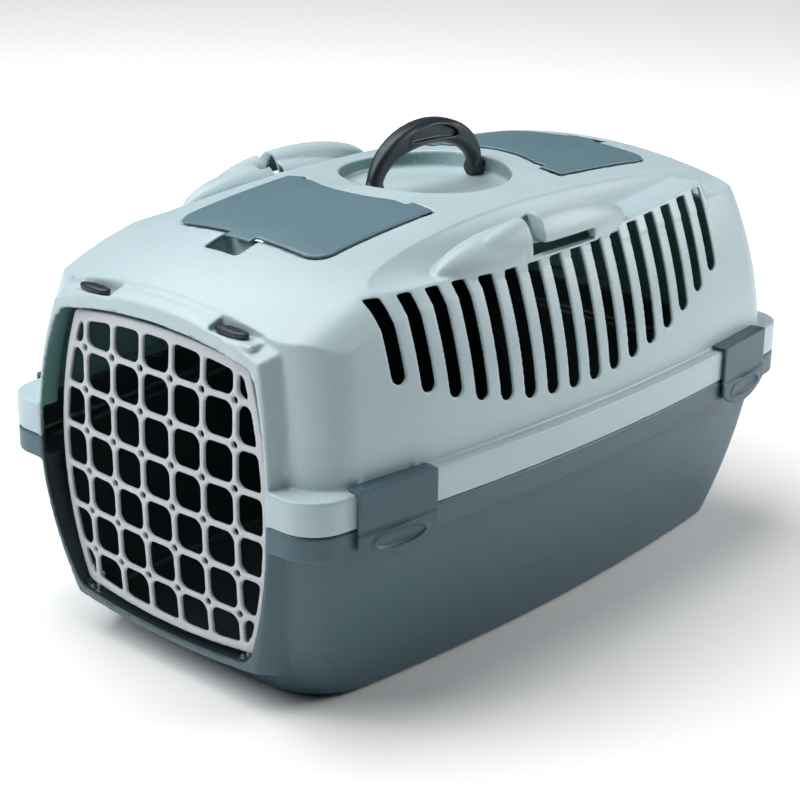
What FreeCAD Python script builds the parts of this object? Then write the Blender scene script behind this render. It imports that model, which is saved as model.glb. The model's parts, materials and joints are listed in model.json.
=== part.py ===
import FreeCAD, Part
import functools
import math
import os
import re

from FreeCAD import Placement, Rotation, Vector

# Pet transport carrier, millimetres. +Z is up, +Y runs from the door to the rear, X is across.
# The origin is the centre of the resting face. The door is in the -Y end.

DIMENSIONS = [
    # shells
    ("wall", 3.0, "wall thickness of both shells"),
    ("half_width", 197.0, "half width over the parting flange"),
    ("half_length", 307.0, "half length over the parting flange"),
    ("side_bow", 1995.0, "plan radius of the bowed long sides"),
    ("flange_corner", 32.0, "plan corner radius of the flange"),
    ("base_corner", 56.0, "plan corner radius at the base"),
    ("parting", 165.0, "height of the joint between the two shells"),
    ("parting_overlap", 20.0, "how far a shell's hollow is cut past the parting"),
    ("flange_top", 192.0, "ledge on top of the upper flange"),
    ("flange_bottom", 145.0, "underside of the lower flange"),
    ("rim_top", 178.0, "top of the lower shell's locating rim"),
    ("rim_wall", 2.5, "thickness of the locating rim"),
    ("rim_gap", 0.5, "play between the locating rim and the upper flange"),
    ("foot_height", 3.0, "height of the base above the resting face"),
    # roof
    ("roof_height", 353.0, "crown of the roof"),
    ("crown_y", 10.0, "where along the length the crown is"),
    ("roof_front_radius", 1348.0, "lengthwise roof radius towards the door"),
    ("roof_rear_radius", 2200.0, "lengthwise roof radius towards the rear"),
    ("roof_cross_radius", 560.0, "crosswise roof radius"),
    ("brow_start", 170.0, "distance in front of the origin where the brow turns down"),
    ("brow_radius", 344.0, "lengthwise radius of the brow over the door"),
    ("brow_angle", 33.0, "slope where the brow ends, in degrees"),
    ("shoulder_start", 126.0, "half width where the roof turns into the shoulder"),
    ("shoulder_radius", 42.0, "radius between roof and side"),
    ("shoulder_angle", 52.0, "slope where the shoulder ends, in degrees"),
    ("rear_start", 240.0, "distance behind the origin where the roof turns down"),
    ("rear_radius", 45.0, "radius between roof and rear wall"),
    ("rear_angle", 58.0, "slope where that radius ends, in degrees"),
    # side grip scoop, ventilation slots and belt hooks
    ("sill", 317.0, "height of the scoop's sill"),
    ("scoop_radius", 45.0, "radius of the scoop's hollow"),
    ("scoop_x", 145.2, "distance of the scoop's axis from the middle"),
    ("slot_count", 16.0, "ventilation slots in each side"),
    ("slot_first", -206.95, "place of the first slot along the length"),
    ("slot_pitch", 26.53, "pitch of the slots"),
    ("slot_width", 12.0, "width of a slot"),
    ("slot_low", 211.5, "lowest slot end"),
    ("slot_rise", 0.83, "rise of the slot ends away from the middle one"),
    ("hook_front", -140.0, "front tip of the belt hook"),
    ("hook_rear", 65.0, "rear tip of the belt hook"),
    ("hook_x", 139.0, "distance of the belt hook's middle from the middle plane"),
    ("hook_wide", 22.0, "half width of the belt hook"),
    ("hook_high", 26.0, "height of the belt hook over the sill"),
    ("belt_slot_y", -55.0, "place of the belt slot"),
    ("belt_slot_width", 11.0, "width of the belt slot"),
    ("belt_run", 78.0, "length of the belt channel under the hook"),
    ("belt_channel", 8.0, "height of the belt channel"),
    ("belt_slot_height", 40.0, "height of the cut that makes the belt slot"),
    ("belt_floor", 0.2, "height of the belt slot's floor over the sill"),
    ("belt_cut", 60.0, "depth of the belt slot and channel across"),
    ("belt_cut_in", 8.0, "how far they start inside the hook's middle"),
    # doorway
    ("barrel_middle", 162.0, "height where the rim and the door are widest"),
    ("rim_front", 306.0, "distance of the doorway rim in front of the origin"),
    ("rim_curve", 833.0, "side view radius of the doorway rim"),
    ("rim_depth", 44.0, "length of the doorway tunnel"),
    ("rim_flare", 15.0, "outward flare of the tunnel towards the body"),
    ("rim_half_top", 110.8, "half width at the rim's upper corners"),
    ("rim_half_mid", 131.0, "half width of the rim at the parting"),
    ("rim_half_low", 99.4, "half width at the rim's lower corners"),
    ("rim_corner_top", 278.6, "height of the rim's upper corners"),
    ("rim_corner_low", 36.5, "height of the rim's lower corners"),
    ("rim_crown", 296.5, "height of the rim's top at mid width"),
    ("rim_sag", 29.5, "height of the rim's bottom at mid width"),
    ("rim_corner", 10.0, "corner radius of the rim"),
    # door
    ("door_front", 297.6, "distance of the door's face in front of the origin"),
    ("door_bulge", 1500.0, "radius of the door's bulged face"),
    ("door_centre", 174.6, "height of the foremost point of the door"),
    ("door_thick", 3.4, "thickness of the door"),
    ("door_half_top", 97.0, "half width at the door's upper corners"),
    ("door_half_mid", 117.0, "half width of the door"),
    ("door_half_low", 97.0, "half width at the door's lower corners"),
    ("door_corner_top", 275.0, "height of the door's upper corners"),
    ("door_corner_low", 45.0, "height of the door's lower corners"),
    ("door_crown", 283.0, "height of the door's top at mid width"),
    ("door_sag", 38.5, "height of the door's bottom at mid width"),
    ("door_corner", 8.0, "corner radius of the door"),
    ("door_blank_front", 310.0, "distance in front of the origin where the door's blank starts"),
    ("door_blank_depth", 40.0, "depth of the blank that the door is cut from"),
    ("door_frame", 7.0, "width of the door's solid border"),
    ("grid_x", 33.67, "pitch of the grille across"),
    ("grid_z", 34.25, "pitch of the grille in height"),
    ("grid_top", 246.4, "height of the top bar crossing"),
    ("bar_width", 5.2, "width of a grille bar"),
    ("cell_corner", 8.0, "corner radius of a grille opening"),
    ("node_hole", 2.2, "radius of the hole at a bar crossing"),
    # door pivots and releases
    ("pivot_x", 88.0, "distance of each pivot axis from the middle"),
    ("pivot_y", -286.0, "place of the pivot axes"),
    ("pin_radius", 2.5, "radius of a pivot pin"),
    ("pin_play", 0.05, "radial play of a pin in its hole"),
    ("knuckle", 4.6, "radius of the door's pivot knuckles"),
    ("knuckle_length", 7.0, "length of a door knuckle"),
    ("lug", 12.0, "width of a pivot lug"),
    ("lug_gap", 3.2, "gap between a door knuckle and its lug"),
    ("lug_hole", 3.0, "depth of the hole in a pivot lug"),
    ("pin_tip_gap", 0.4, "gap between a pin's tip and the bottom of its hole"),
    ("snap_lip", 0.3, "how far each lip of a lug's mouth holds the pin back"),
    ("release_x", 76.0, "distance of each door release from the middle"),
    ("release_y", -287.0, "place of the door releases"),
    ("release_z", 292.0, "height of the pads under the door releases"),
    ("release_length", 34.0, "length of a door release"),
    ("release_width", 12.0, "width of a door release"),
    ("release_height", 5.0, "height of a door release"),
    ("release_travel", 8.0, "travel of a door release"),
    ("release_round", 2.0, "radius of a release's upper edges"),
    ("shank", 5.0, "width of a release's shank"),
    ("shank_inset", 8.0, "distance of the shank from the release's middle"),
    ("shank_foot", 8.0, "width of the foot that keeps a release in its slot"),
    ("foot_plate", 1.6, "thickness of that foot"),
    ("release_gap", 0.3, "gap between a release and its pad"),
    # roof lids
    ("lid_half", 80.0, "half width of a lid"),
    ("lid_outer", 208.0, "distance of a lid's outer edge from the recess centre"),
    ("lid_inner", 81.0, "distance of a lid's horns from the recess centre"),
    ("lid_arc", 99.0, "radius of the lid's arc round the handle recess"),
    ("lid_corner", 16.0, "radius of the lid's outer corners"),
    ("lid_thick", 2.4, "thickness of a lid"),
    ("lid_proud", 1.6, "height of a lid above the roof"),
    ("lid_bed", 2.6, "depth of the bed that a lid lies in"),
    ("lid_gap", 0.8, "gap round a lid"),
    ("seat", 8.0, "width of the bed's ledge"),
    ("lid_axis", 84.5, "distance of a lid's hinge axis from the recess centre"),
    ("lid_axis_drop", 2.6, "depth of a lid's hinge axis under the roof"),
    ("lid_pin", 1.4, "radius of a lid's hinge pin"),
    ("lid_knuckle", 2.5, "half size of a lid's hinge knuckle"),
    ("lid_lug_in", 46.4, "inner end of the lug for a lid's pin"),
    ("lid_lug_out", 58.0, "outer end of the lug for a lid's pin"),
    ("lid_knuckle_end", 66.0, "outer end of a lid's hinge knuckle"),
    ("lug_play", 0.5, "gap between a lid and a lug"),
    ("lid_room", 1.3, "room round a lid's hinge knuckle"),
    ("lid_swing", 5.8, "reach of a lid's horn past its hinge axis, with its swing"),
    ("tab_half", 14.0, "half width of the finger tab"),
    ("tab_reach", 7.0, "reach of the finger tab beyond the lid"),
    ("notch_half", 18.0, "half width of the finger notch"),
    ("notch_reach", 24.0, "reach of the finger notch beyond the lid"),
    ("notch_under", 12.0, "reach of the finger notch under the lid"),
    ("notch_depth", 60.0, "height of the cut that makes the finger notch"),
    # handle
    ("recess_y", 5.0, "centre of the handle recess"),
    ("recess_radius", 72.0, "radius of the handle recess"),
    ("recess_floor", 336.0, "floor of the handle recess"),
    ("handle_pivot", 343.5, "height of the handle's pivot"),
    ("handle_half", 70.0, "half length of the handle over its legs"),
    ("handle_apex", 394.0, "top of the handle"),
    ("handle_leg", 14.0, "width of a handle leg"),
    ("handle_grip", 22.0, "depth of the grip at its middle"),
    ("handle_thick", 14.0, "thickness of the handle"),
    ("handle_pin", 4.0, "radius of a handle pin"),
    ("handle_pin_length", 8.0, "length of a handle pin"),
    ("pin_end_play", 1.0, "room past the end of a handle pin"),
    ("boss_reach", 9.0, "reach of a handle pin's boss past the recess"),
    # side clips
    ("clip_front_y", -229.0, "place of the front clips"),
    ("clip_rear_y", 221.0, "place of the rear clips"),
    ("clip_length", 76.0, "length of a clip"),
    ("clip_thick", 3.0, "thickness of a clip"),
    ("clip_gap", 0.6, "gap between a clip and the flange"),
    ("clip_top", 197.2, "top of a clip"),
    ("clip_skirt", 151.0, "height of a clip's lower corners"),
    ("clip_low", 139.0, "height of a clip's lowest point"),
    ("clip_hook", 3.0, "engagement of the clip under the lower flange"),
    ("clip_hook_length", 39.2, "length of that hook"),
    ("clip_hook_high", 2.5, "height of that hook"),
    ("clip_axis_in", 7.6, "distance of a clip's axis inside the flange's face"),
    ("clip_axis_z", 194.8, "height of a clip's axis"),
    ("clip_knuckle", 2.4, "radius of a clip's hinge knuckle"),
    ("clip_pin", 1.2, "radius of a clip's hinge pin"),
    ("clip_ear", 3.0, "thickness of the ears that hold a clip"),
    ("ear_play", 0.4, "gap between a clip and each side of an ear"),
    ("clip_ear_y", 27.0, "distance of the ears from a clip's middle"),
    ("thumb_long", 24.0, "half length of the thumb recess"),
    ("thumb_high", 6.5, "half height of the thumb recess"),
    ("thumb_deep", 1.4, "depth of the thumb recess"),
    ("thumb_z", 152.0, "height of the thumb recess"),
    # feet
    ("foot_x", 96.0, "distance of the feet from the middle"),
    ("foot_y", 195.0, "distance of the feet from the origin along the length"),
    ("foot_radius", 11.0, "radius of a foot"),
    ("foot_stem", 3.0, "radius of the stem that holds a foot in the base"),
]

document = FreeCAD.newDocument("pet_carrier")
sheet = document.addObject("Spreadsheet::Sheet", "dims")
for row, (alias, value, meaning) in enumerate(DIMENSIONS, start=1):
    sheet.set(f"A{row}", meaning)
    sheet.set(f"B{row}", str(value))
    sheet.setAlias(f"B{row}", alias)
document.recompute()

ALIASES = {alias for alias, _, _ in DIMENSIONS}
NODES = []

AXIS_X = Rotation(Vector(0, 1, 0), 90)
AXIS_Y = Rotation(Vector(1, 0, 0), -90)
AXIS_Z = Rotation()


def dim(alias):
    """A driving dimension, read from the sheet."""
    return float(sheet.get(alias))


def bind(thing, prop, text):
    """Ties a property to the sheet: each alias in the text becomes a cell of the sheet."""
    linked = re.sub(r"[a-z_]+", lambda m: f"dims.{m[0]}" if m[0] in ALIASES else m[0], str(text))
    thing.setExpression(prop, linked)


def place(thing, at, rotation=AXIS_Z):
    """Puts a piece at a place that is bound to the sheet."""
    thing.Placement = Placement(Vector(), rotation)
    for name, text in zip("xyz", at):
        bind(thing, f".Placement.Base.{name}", text)


def box(name, size, centre):
    """A box bound to the sheet, given by its three sizes and its centre."""
    thing = document.addObject("Part::Box", name)
    for prop, text in zip(("Length", "Width", "Height"), size):
        bind(thing, prop, text)
    place(thing, [f"({c}) - ({s}) / 2" for c, s in zip(centre, size)])
    return thing


def cylinder(name, radius, length, start, rotation=AXIS_Z):
    """A cylinder bound to the sheet, from the centre of its first end along the rotated Z axis."""
    thing = document.addObject("Part::Cylinder", name)
    bind(thing, "Radius", radius)
    bind(thing, "Height", length)
    place(thing, start, rotation)
    return thing


def feature(name, shape):
    """A shape made with Part's own functions, for the curved skins that no primitive fits."""
    thing = document.addObject("Part::Feature", name)
    thing.Shape = shape
    return thing


def cut(name, base, tool):
    """The base without the tool."""
    thing = document.addObject("Part::Cut", name)
    thing.Base = base
    thing.Tool = tool
    return thing


def common(name, *shapes):
    """What the shapes have in common."""
    thing = document.addObject("Part::MultiCommon", name)
    thing.Shapes = list(shapes)
    return thing


def fuse(name, *shapes):
    """The shapes joined into one piece."""
    thing = document.addObject("Part::MultiFuse", name)
    thing.Shapes = list(shapes)
    return thing


def mirrored(name, source):
    """The same piece on the other side of the middle plane."""
    thing = document.addObject("Part::Mirroring", name)
    thing.Source = source
    thing.Normal = Vector(1, 0, 0)
    return thing


def node(thing, name):
    """Names a sub-part. The name is also the name of its file."""
    thing.Label = name
    NODES.append(thing)
    return thing


# ---------------------------------------------------------------- outlines and skins


def arc(a, b, c):
    """A round edge through three points."""
    return Part.Arc(Vector(*a), Vector(*b), Vector(*c)).toShape()


def line(a, b):
    """A straight edge between two points."""
    return Part.makeLine(Vector(*a), Vector(*b))


def plan_outline(half, front, rear, corner, z):
    """A plan outline: bowed long sides, straight ends and round corners tangent to both."""
    bow = dim("side_bow")
    bow_x = half - bow

    def corner_points(end):
        """Where a corner leaves the side, its middle and where it meets the end."""
        cy = abs(end) - corner
        cx = bow_x + math.sqrt((bow - corner) ** 2 - cy**2)
        sign = math.copysign(1, end)
        lean = math.atan2(cy, cx - bow_x)
        middle = (lean + math.pi / 2) / 2
        side = (cx + corner * math.cos(lean), sign * (cy + corner * math.sin(lean)))
        mid = (cx + corner * math.cos(middle), sign * (cy + corner * math.sin(middle)))
        return side, mid, (cx, end)

    f_side, f_mid, f_end = corner_points(front)
    r_side, r_mid, r_end = corner_points(rear)

    def at(point, side=1):
        return (side * point[0], point[1], z)

    return Part.Wire(
        [
            arc(at(f_side), (half, 0, z), at(r_side)),
            arc(at(r_side), at(r_mid), at(r_end)),
            line(at(r_end), at(r_end, -1)),
            arc(at(r_end, -1), at(r_mid, -1), at(r_side, -1)),
            arc(at(r_side, -1), (-half, 0, z), at(f_side, -1)),
            arc(at(f_side, -1), at(f_mid, -1), at(f_end, -1)),
            line(at(f_end, -1), at(f_end)),
            arc(at(f_end), at(f_mid), at(f_side)),
        ]
    )


def prism(wire, vector):
    """A flat outline drawn out along a vector."""
    return Part.Face(wire).extrude(Vector(*vector))


def flange_prism(offset, low, high):
    """The inside of the flange outline, moved outwards by the offset, between two heights."""
    end = dim("half_length") + offset
    outline = plan_outline(
        dim("half_width") + offset, -end, end, dim("flange_corner") + offset, low
    )
    return prism(outline, (0, 0, high - low))


# How far each wall stands inside the flange: at the parting, per height and per height squared.
UPPER_SIDE = (10.55, -0.0456, 1.533e-3)
UPPER_REAR = (9.5, 0.0, 6.8e-4)
UPPER_FRONT = (16.0, 0.0, 6.0e-4)
LOWER_SIDE = (14.7, 0.106, 9.6e-4)
LOWER_REAR = (10.0, 0.04, 0.0)
LOWER_FRONT = (16.0, 0.0, 1.5e-3)

# How much larger the upper walls' corners are than the flange's, in the same three terms.
UPPER_CORNER = (6.0, 0.08, 0.0)

# Heights of the sections that the upper walls are lofted through, and how many the lower walls have.
UPPER_SECTIONS = (200, 240, 280, 316, 370)
LOWER_SECTIONS = 6

# The lower walls start to draw in here, just under the lower flange.
LOWER_START = 142.0


def inset(terms, distance):
    """A quadratic in the distance from the parting."""
    start, slope, curve = terms
    return start + slope * distance + curve * distance**2


def upper_skin(offset, low):
    """The inside of the upper shell's walls, moved outwards by the offset, up through the roof."""

    def section(z):
        up = max(z - dim("parting"), 0)
        return plan_outline(
            dim("half_width") - inset(UPPER_SIDE, up) + offset,
            -(dim("half_length") - inset(UPPER_FRONT, up) + offset),
            dim("half_length") - inset(UPPER_REAR, up) + offset,
            dim("flange_corner") + inset(UPPER_CORNER, up) + offset,
            z,
        )

    return Part.makeLoft([section(z) for z in (low, *UPPER_SECTIONS)], True, False)


def lower_skin(offset, low, high):
    """The inside of the lower shell's walls, moved outwards by the offset."""

    def section(z):
        down = max(LOWER_START - z, 0)
        growth = dim("base_corner") - dim("flange_corner")
        return plan_outline(
            dim("half_width") - inset(LOWER_SIDE, down) + offset,
            -(dim("half_length") - inset(LOWER_FRONT, down) + offset),
            dim("half_length") - inset(LOWER_REAR, down) + offset,
            dim("flange_corner") + growth * down / LOWER_START + offset,
            z,
        )

    step = (high - low) / (LOWER_SECTIONS - 1)
    heights = [low + step * index for index in range(LOWER_SECTIONS)]
    return Part.makeLoft([section(z) for z in heights], True, False)


def chain_drop(distance, arcs):
    """The drop of a chain of tangent arcs from a level start. Each arc is a radius and an end angle."""
    drop = 0.0
    angle = 0.0
    for radius, last in arcs:
        last = math.radians(last)
        span = radius * (math.sin(last) - math.sin(angle))
        if distance <= span:
            reached = math.asin(math.sin(angle) + distance / radius)
            return drop + radius * (math.cos(angle) - math.cos(reached))
        drop += radius * (math.cos(angle) - math.cos(last))
        distance -= span
        angle = last
    return drop + distance * math.tan(angle)


def roof_at(x, y, offset):
    """Height of the roof surface over a point, moved outwards by the offset."""
    cross = dim("roof_cross_radius")
    across = [
        (cross + offset, math.degrees(math.asin(dim("shoulder_start") / cross))),
        (dim("shoulder_radius") + offset, dim("shoulder_angle")),
    ]
    if y < dim("crown_y"):
        radius = dim("roof_front_radius")
        turn = dim("brow_start") + dim("crown_y")
        last = (dim("brow_radius") + offset, dim("brow_angle"))
    else:
        radius = dim("roof_rear_radius")
        turn = dim("rear_start") - dim("crown_y")
        last = (dim("rear_radius") + offset, dim("rear_angle"))
    along = [(radius + offset, math.degrees(math.asin(turn / radius))), last]
    crown = dim("roof_height") + offset
    return crown - chain_drop(abs(x), across) - chain_drop(abs(y - dim("crown_y")), along)


def spread(low, high, step):
    """Evenly spaced values between two ends, at most a step apart."""
    count = math.ceil((high - low) / step)
    return [low + (high - low) * index / count for index in range(count + 1)]


# Where the roof surface is worked out: from, to and the largest step.
ROOF_WIDTH = (-206, 206, 11)
ROOF_LENGTH = (-330, 320, 13)

# Half the size of anything that has to reach past the whole carrier.
WIDE = 430.0


@functools.lru_cache
def roof_volume(offset):
    """Everything under the roof surface, moved outwards by the offset."""
    grid = [
        [Vector(x, y, roof_at(x, y, offset)) for y in spread(*ROOF_LENGTH)]
        for x in spread(*ROOF_WIDTH)
    ]
    surface = Part.BSplineSurface()
    surface.interpolate(grid)
    return surface.toShape().extrude(Vector(0, 0, -WIDE))


def barrel_outline(kind, offset, y):
    """A barrel outline of the doorway rim or the door, moved outwards by the offset."""
    top, mid, low = (dim(f"{kind}_half_{part}") + offset for part in ("top", "mid", "low"))
    z_top = dim(f"{kind}_corner_top") + offset
    z_low = dim(f"{kind}_corner_low") - offset
    crown = dim(f"{kind}_crown") + offset
    sag = dim(f"{kind}_sag") - offset
    z_mid = dim("barrel_middle")
    return Part.Wire(
        [
            arc((low, y, z_low), (mid, y, z_mid), (top, y, z_top)),
            arc((top, y, z_top), (0, y, crown), (-top, y, z_top)),
            arc((-top, y, z_top), (-mid, y, z_mid), (-low, y, z_low)),
            arc((-low, y, z_low), (0, y, sag), (low, y, z_low)),
        ]
    )


def rounded(solid, radius, direction):
    """Rounds the straight edges that run along a direction."""
    edges = []
    for edge in solid.Edges:
        if edge.Curve.TypeId == "Part::GeomLine" or edge.Curve.TypeId == "Part::GeomLineSegment":
            if abs(edge.tangentAt(edge.FirstParameter).dot(Vector(*direction))) > 0.999:
                edges.append(edge)
    return solid.makeFillet(radius, edges)


def doorway(offset, front, depth):
    """A barrel prism of the doorway."""
    blank = prism(barrel_outline("rim", offset, -front), (0, depth, 0))
    return rounded(blank, dim("rim_corner") + offset, (0, 1, 0))


def doorway_collar():
    """The flared collar that carries the doorway's rim, with its face bowed in side view."""
    front = dim("rim_front")
    flare = Part.makeLoft(
        [
            barrel_outline("rim", 0, -front),
            barrel_outline("rim", dim("rim_flare"), -front + dim("rim_depth")),
        ],
        True,
        True,
    )
    face = Part.makeCylinder(
        dim("rim_curve"),
        2 * WIDE,
        Vector(-WIDE, dim("rim_curve") - front, dim("parting")),
        Vector(1, 0, 0),
    )
    return flare.common(face)


def block(low, high):
    """A box between two corners."""
    return Part.makeBox(*[b - a for a, b in zip(low, high)], Vector(*low))


def above(z):
    """Everything over a height."""
    return block((-WIDE, -WIDE, z), (WIDE, WIDE, z + WIDE))


def below(z):
    """Everything under a height."""
    return block((-WIDE, -WIDE, z - WIDE), (WIDE, WIDE, z))


# Heights that hold the whole roof round the lids between them.
ROOF_LOW = 300.0
ROOF_HIGH = 380.0


def lid_outline(offset, side):
    """A roof lid in plan, moved outwards by the offset. The side is -1 for the front lid."""
    half = dim("lid_half") + offset
    outer = dim("lid_outer") + offset
    inner = dim("lid_inner") - offset
    plate = block((-half, inner, ROOF_LOW), (half, outer, ROOF_HIGH))
    radius = dim("lid_corner") + offset
    corners = [
        edge
        for edge in plate.Edges
        if abs(edge.tangentAt(0).z) > 0.999 and edge.CenterOfMass.y > (inner + outer) / 2
    ]
    plate = plate.makeFillet(radius, corners)
    plate = plate.cut(Part.makeCylinder(dim("lid_arc") - offset, WIDE))
    if side < 0:
        plate = plate.mirror(Vector(), Vector(0, 1, 0))
    plate.translate(Vector(0, dim("recess_y"), 0))
    return plate


def across_lids(make):
    """What a function makes for the front lid and for the rear lid."""
    return [make(side) for side in (-1, 1)]


# ---------------------------------------------------------------- upper shell


def clip_frame(side, y):
    """The place of a clip: its origin on the flange's outer face at the parting, X outwards."""
    bow = dim("side_bow")
    lean = math.degrees(math.asin(y / bow))
    x = dim("half_width") - bow + math.sqrt(bow**2 - y**2)
    turn = Rotation(Vector(0, 0, 1), lean if side > 0 else 180 - lean)
    return Placement(Vector(side * x, y, dim("parting")), turn)


CLIPS = [
    ("clip_front_left", -1, "clip_front_y"),
    ("clip_front_right", 1, "clip_front_y"),
    ("clip_rear_left", -1, "clip_rear_y"),
    ("clip_rear_right", 1, "clip_rear_y"),
]


def roof_layer(plan, high, low):
    """The layer of a plan prism that lies between two offsets of the roof surface."""
    return plan.common(roof_volume(high)).cut(roof_volume(low))


def upper_blank():
    """The upper shell's skin with its flange, doorway collar and handle dish, still without cut-outs."""
    wall = dim("wall")
    parting = dim("parting")
    overlap = dim("parting_overlap")
    top = dim("flange_top")
    outside = upper_skin(0, parting).common(roof_volume(0))
    inside = upper_skin(-wall, parting - overlap).common(roof_volume(-wall))
    flange = flange_prism(0, parting, top)
    hollow = flange_prism(-wall, parting - overlap, top - wall)
    collar = doorway_collar().common(above(parting)).common(roof_volume(0))
    dish = Part.makeCylinder(
        dim("recess_radius") + wall,
        dim("roof_height") - dim("recess_floor") + wall,
        Vector(0, dim("recess_y"), dim("recess_floor") - wall),
    ).common(roof_volume(0))
    skin = outside.fuse([flange, collar]).cut(inside.fuse(hollow))
    seats = across_lids(
        lambda side: roof_layer(lid_outline(wall, side), -dim("lid_bed"), -dim("lid_bed") - wall)
    )
    return skin.fuse([dish, *seats]).cut(doorway(-wall, dim("rim_front") + 1, dim("rim_depth") + 2))


def scoop_volume(side, offset):
    """The space above the sill: a straight round hollow that the bowed side runs out of at both ends."""
    radius = dim("scoop_radius") + offset
    x = dim("scoop_x")
    axis = dim("sill") + dim("scoop_radius")
    low = dim("sill") - offset
    far, high = WIDE, axis + radius
    half = math.sqrt(0.5) * radius

    def at(u, v):
        return (side * u, -WIDE, v)

    outline = [
        arc(at(x, low), at(x - half, axis - half), at(x - radius, axis)),
        line(at(x - radius, axis), at(x - radius, high)),
        line(at(x - radius, high), at(far, high)),
        line(at(far, high), at(far, low)),
        line(at(far, low), at(x, low)),
    ]
    return prism(Part.Wire(outline), (0, 2 * WIDE, 0))


def lid_hinge(side):
    """Y and Z of a lid's hinge axis."""
    y = dim("recess_y") + side * dim("lid_axis")
    x = (dim("lid_lug_in") + dim("lid_lug_out")) / 2
    return y, roof_at(x, y, 0) - dim("lid_axis_drop")


LIDS = [("front", -1), ("rear", 1)]

document.recompute()
upper_skin_blank = feature("upper_skin_blank", upper_blank())

slot_tools = []
for index in range(int(dim("slot_count"))):
    y = f"slot_first + slot_pitch * {index}"
    low = f"slot_low + slot_rise * ({index} - 7.4) ^ 2"
    slot_tools.append(
        box(
            f"slot_{index}",
            ("2 * half_width", "slot_width", f"sill - 3 - ({low}) - slot_width / 2"),
            ("0", y, f"(sill - 3 + ({low}) + slot_width / 2) / 2"),
        )
    )
    slot_tools.append(
        cylinder(
            f"slot_end_{index}",
            "slot_width / 2",
            "2 * half_width",
            ("-half_width", y, f"{low} + slot_width / 2"),
            AXIS_X,
        )
    )
slots = fuse("slots", *slot_tools)

lid_openings = feature(
    "lid_openings",
    Part.makeCompound(across_lids(lambda side: lid_outline(-dim("seat"), side))),
)
lid_pockets = feature(
    "lid_pockets",
    Part.makeCompound(
        across_lids(
            lambda side: lid_outline(dim("lid_gap"), side).cut(roof_volume(-dim("lid_bed")))
        )
    ),
)
finger_notches = [
    box(
        f"finger_notch_{name}",
        ("2 * notch_half", "notch_reach + notch_under", "notch_depth"),
        (
            "0",
            f"recess_y + {side} * (lid_outer + (notch_reach - notch_under) / 2)",
            "roof_height - 20",
        ),
    )
    for name, side in LIDS
]


def hinge_block(side, inner, outer, back, reach):
    """A pair of upright blocks at a lid's hinge, from behind its axis to a reach towards the recess."""
    y = lid_hinge(side)[0]
    first, last = sorted((y + side * back, y - side * reach))
    right = block((inner, first, ROOF_LOW), (outer, last, ROOF_HIGH))
    left = block((-outer, first, ROOF_LOW), (-inner, last, ROOF_HIGH))
    return Part.makeCompound([left, right])


def lid_rods(side, radius, inner, outer):
    """A pair of round rods on a lid's hinge axis."""
    y, z = lid_hinge(side)
    return [
        Part.makeCylinder(radius, outer - inner, Vector(sign * inner, y, z), Vector(sign, 0, 0))
        for sign in (-1, 1)
    ]


def lid_holes(side):
    """The holes for a lid's pins."""
    radius = dim("lid_pin") + dim("pin_play")
    return Part.makeCompound(lid_rods(side, radius, dim("lid_lug_in"), dim("lid_lug_out")))


def lid_lug(side):
    """The two lugs of the roof that hold a lid's pins."""
    z = lid_hinge(side)[1]
    half = dim("lid_knuckle")
    lugs = hinge_block(side, dim("lid_lug_in"), dim("lid_lug_out"), half, dim("lid_swing"))
    return lugs.common(roof_volume(0)).cut([below(z - half), lid_holes(side)])


lid_lugs = feature("lid_lugs", Part.makeCompound(across_lids(lid_lug)))
lid_pin_holes = feature("lid_pin_holes", Part.makeCompound(across_lids(lid_holes)))
lid_rooms = feature(
    "lid_rooms",
    Part.makeCompound(
        across_lids(
            lambda side: hinge_block(
                side,
                dim("lid_lug_out"),
                dim("lid_half") + dim("lid_gap"),
                dim("lid_knuckle") + dim("lid_room"),
                dim("lid_swing"),
            )
        )
    ),
)
recess = cylinder(
    "recess", "recess_radius", "roof_height - recess_floor + 1", ("0", "recess_y", "recess_floor")
)
handle_sockets = cylinder(
    "handle_sockets",
    "handle_pin + pin_play",
    "2 * (handle_half + handle_pin_length + pin_end_play)",
    ("0", "recess_y - handle_half - handle_pin_length - pin_end_play", "handle_pivot"),
    AXIS_Y,
)
socket_bosses = cut(
    "socket_bosses",
    cylinder(
        "socket_boss_bar",
        "handle_pin + wall",
        "2 * (recess_radius + boss_reach)",
        ("0", "recess_y - recess_radius - boss_reach", "handle_pivot - 2"),
        AXIS_Y,
    ),
    cylinder("socket_boss_gap", "recess_radius + 1", "80", ("0", "recess_y", "recess_floor - 30")),
)

pivot_lugs = []
pivot_holes = []
for name, sign in (("left", -1), ("right", 1)):
    x = f"{sign} * pivot_x"
    pivot_lugs.append(
        box(
            f"pivot_lug_upper_{name}",
            ("lug", "lug", "release_z - door_corner_top - lug_gap"),
            (x, "pivot_y + 1", "(release_z + door_corner_top + lug_gap) / 2"),
        )
    )
    pivot_holes.append(
        cylinder(
            f"pivot_hole_upper_{name}",
            "pin_radius + pin_play",
            "lug_hole + 1",
            (x, "pivot_y", "door_corner_top + lug_gap - 1"),
        )
    )
    pivot_holes.append(
        box(
            f"pivot_mouth_upper_{name}",
            ("2 * (pin_radius - snap_lip)", "lug", "lug_hole + 1"),
            (x, "pivot_y - lug / 2", "door_corner_top + lug_gap + (lug_hole - 1) / 2"),
        )
    )

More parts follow.
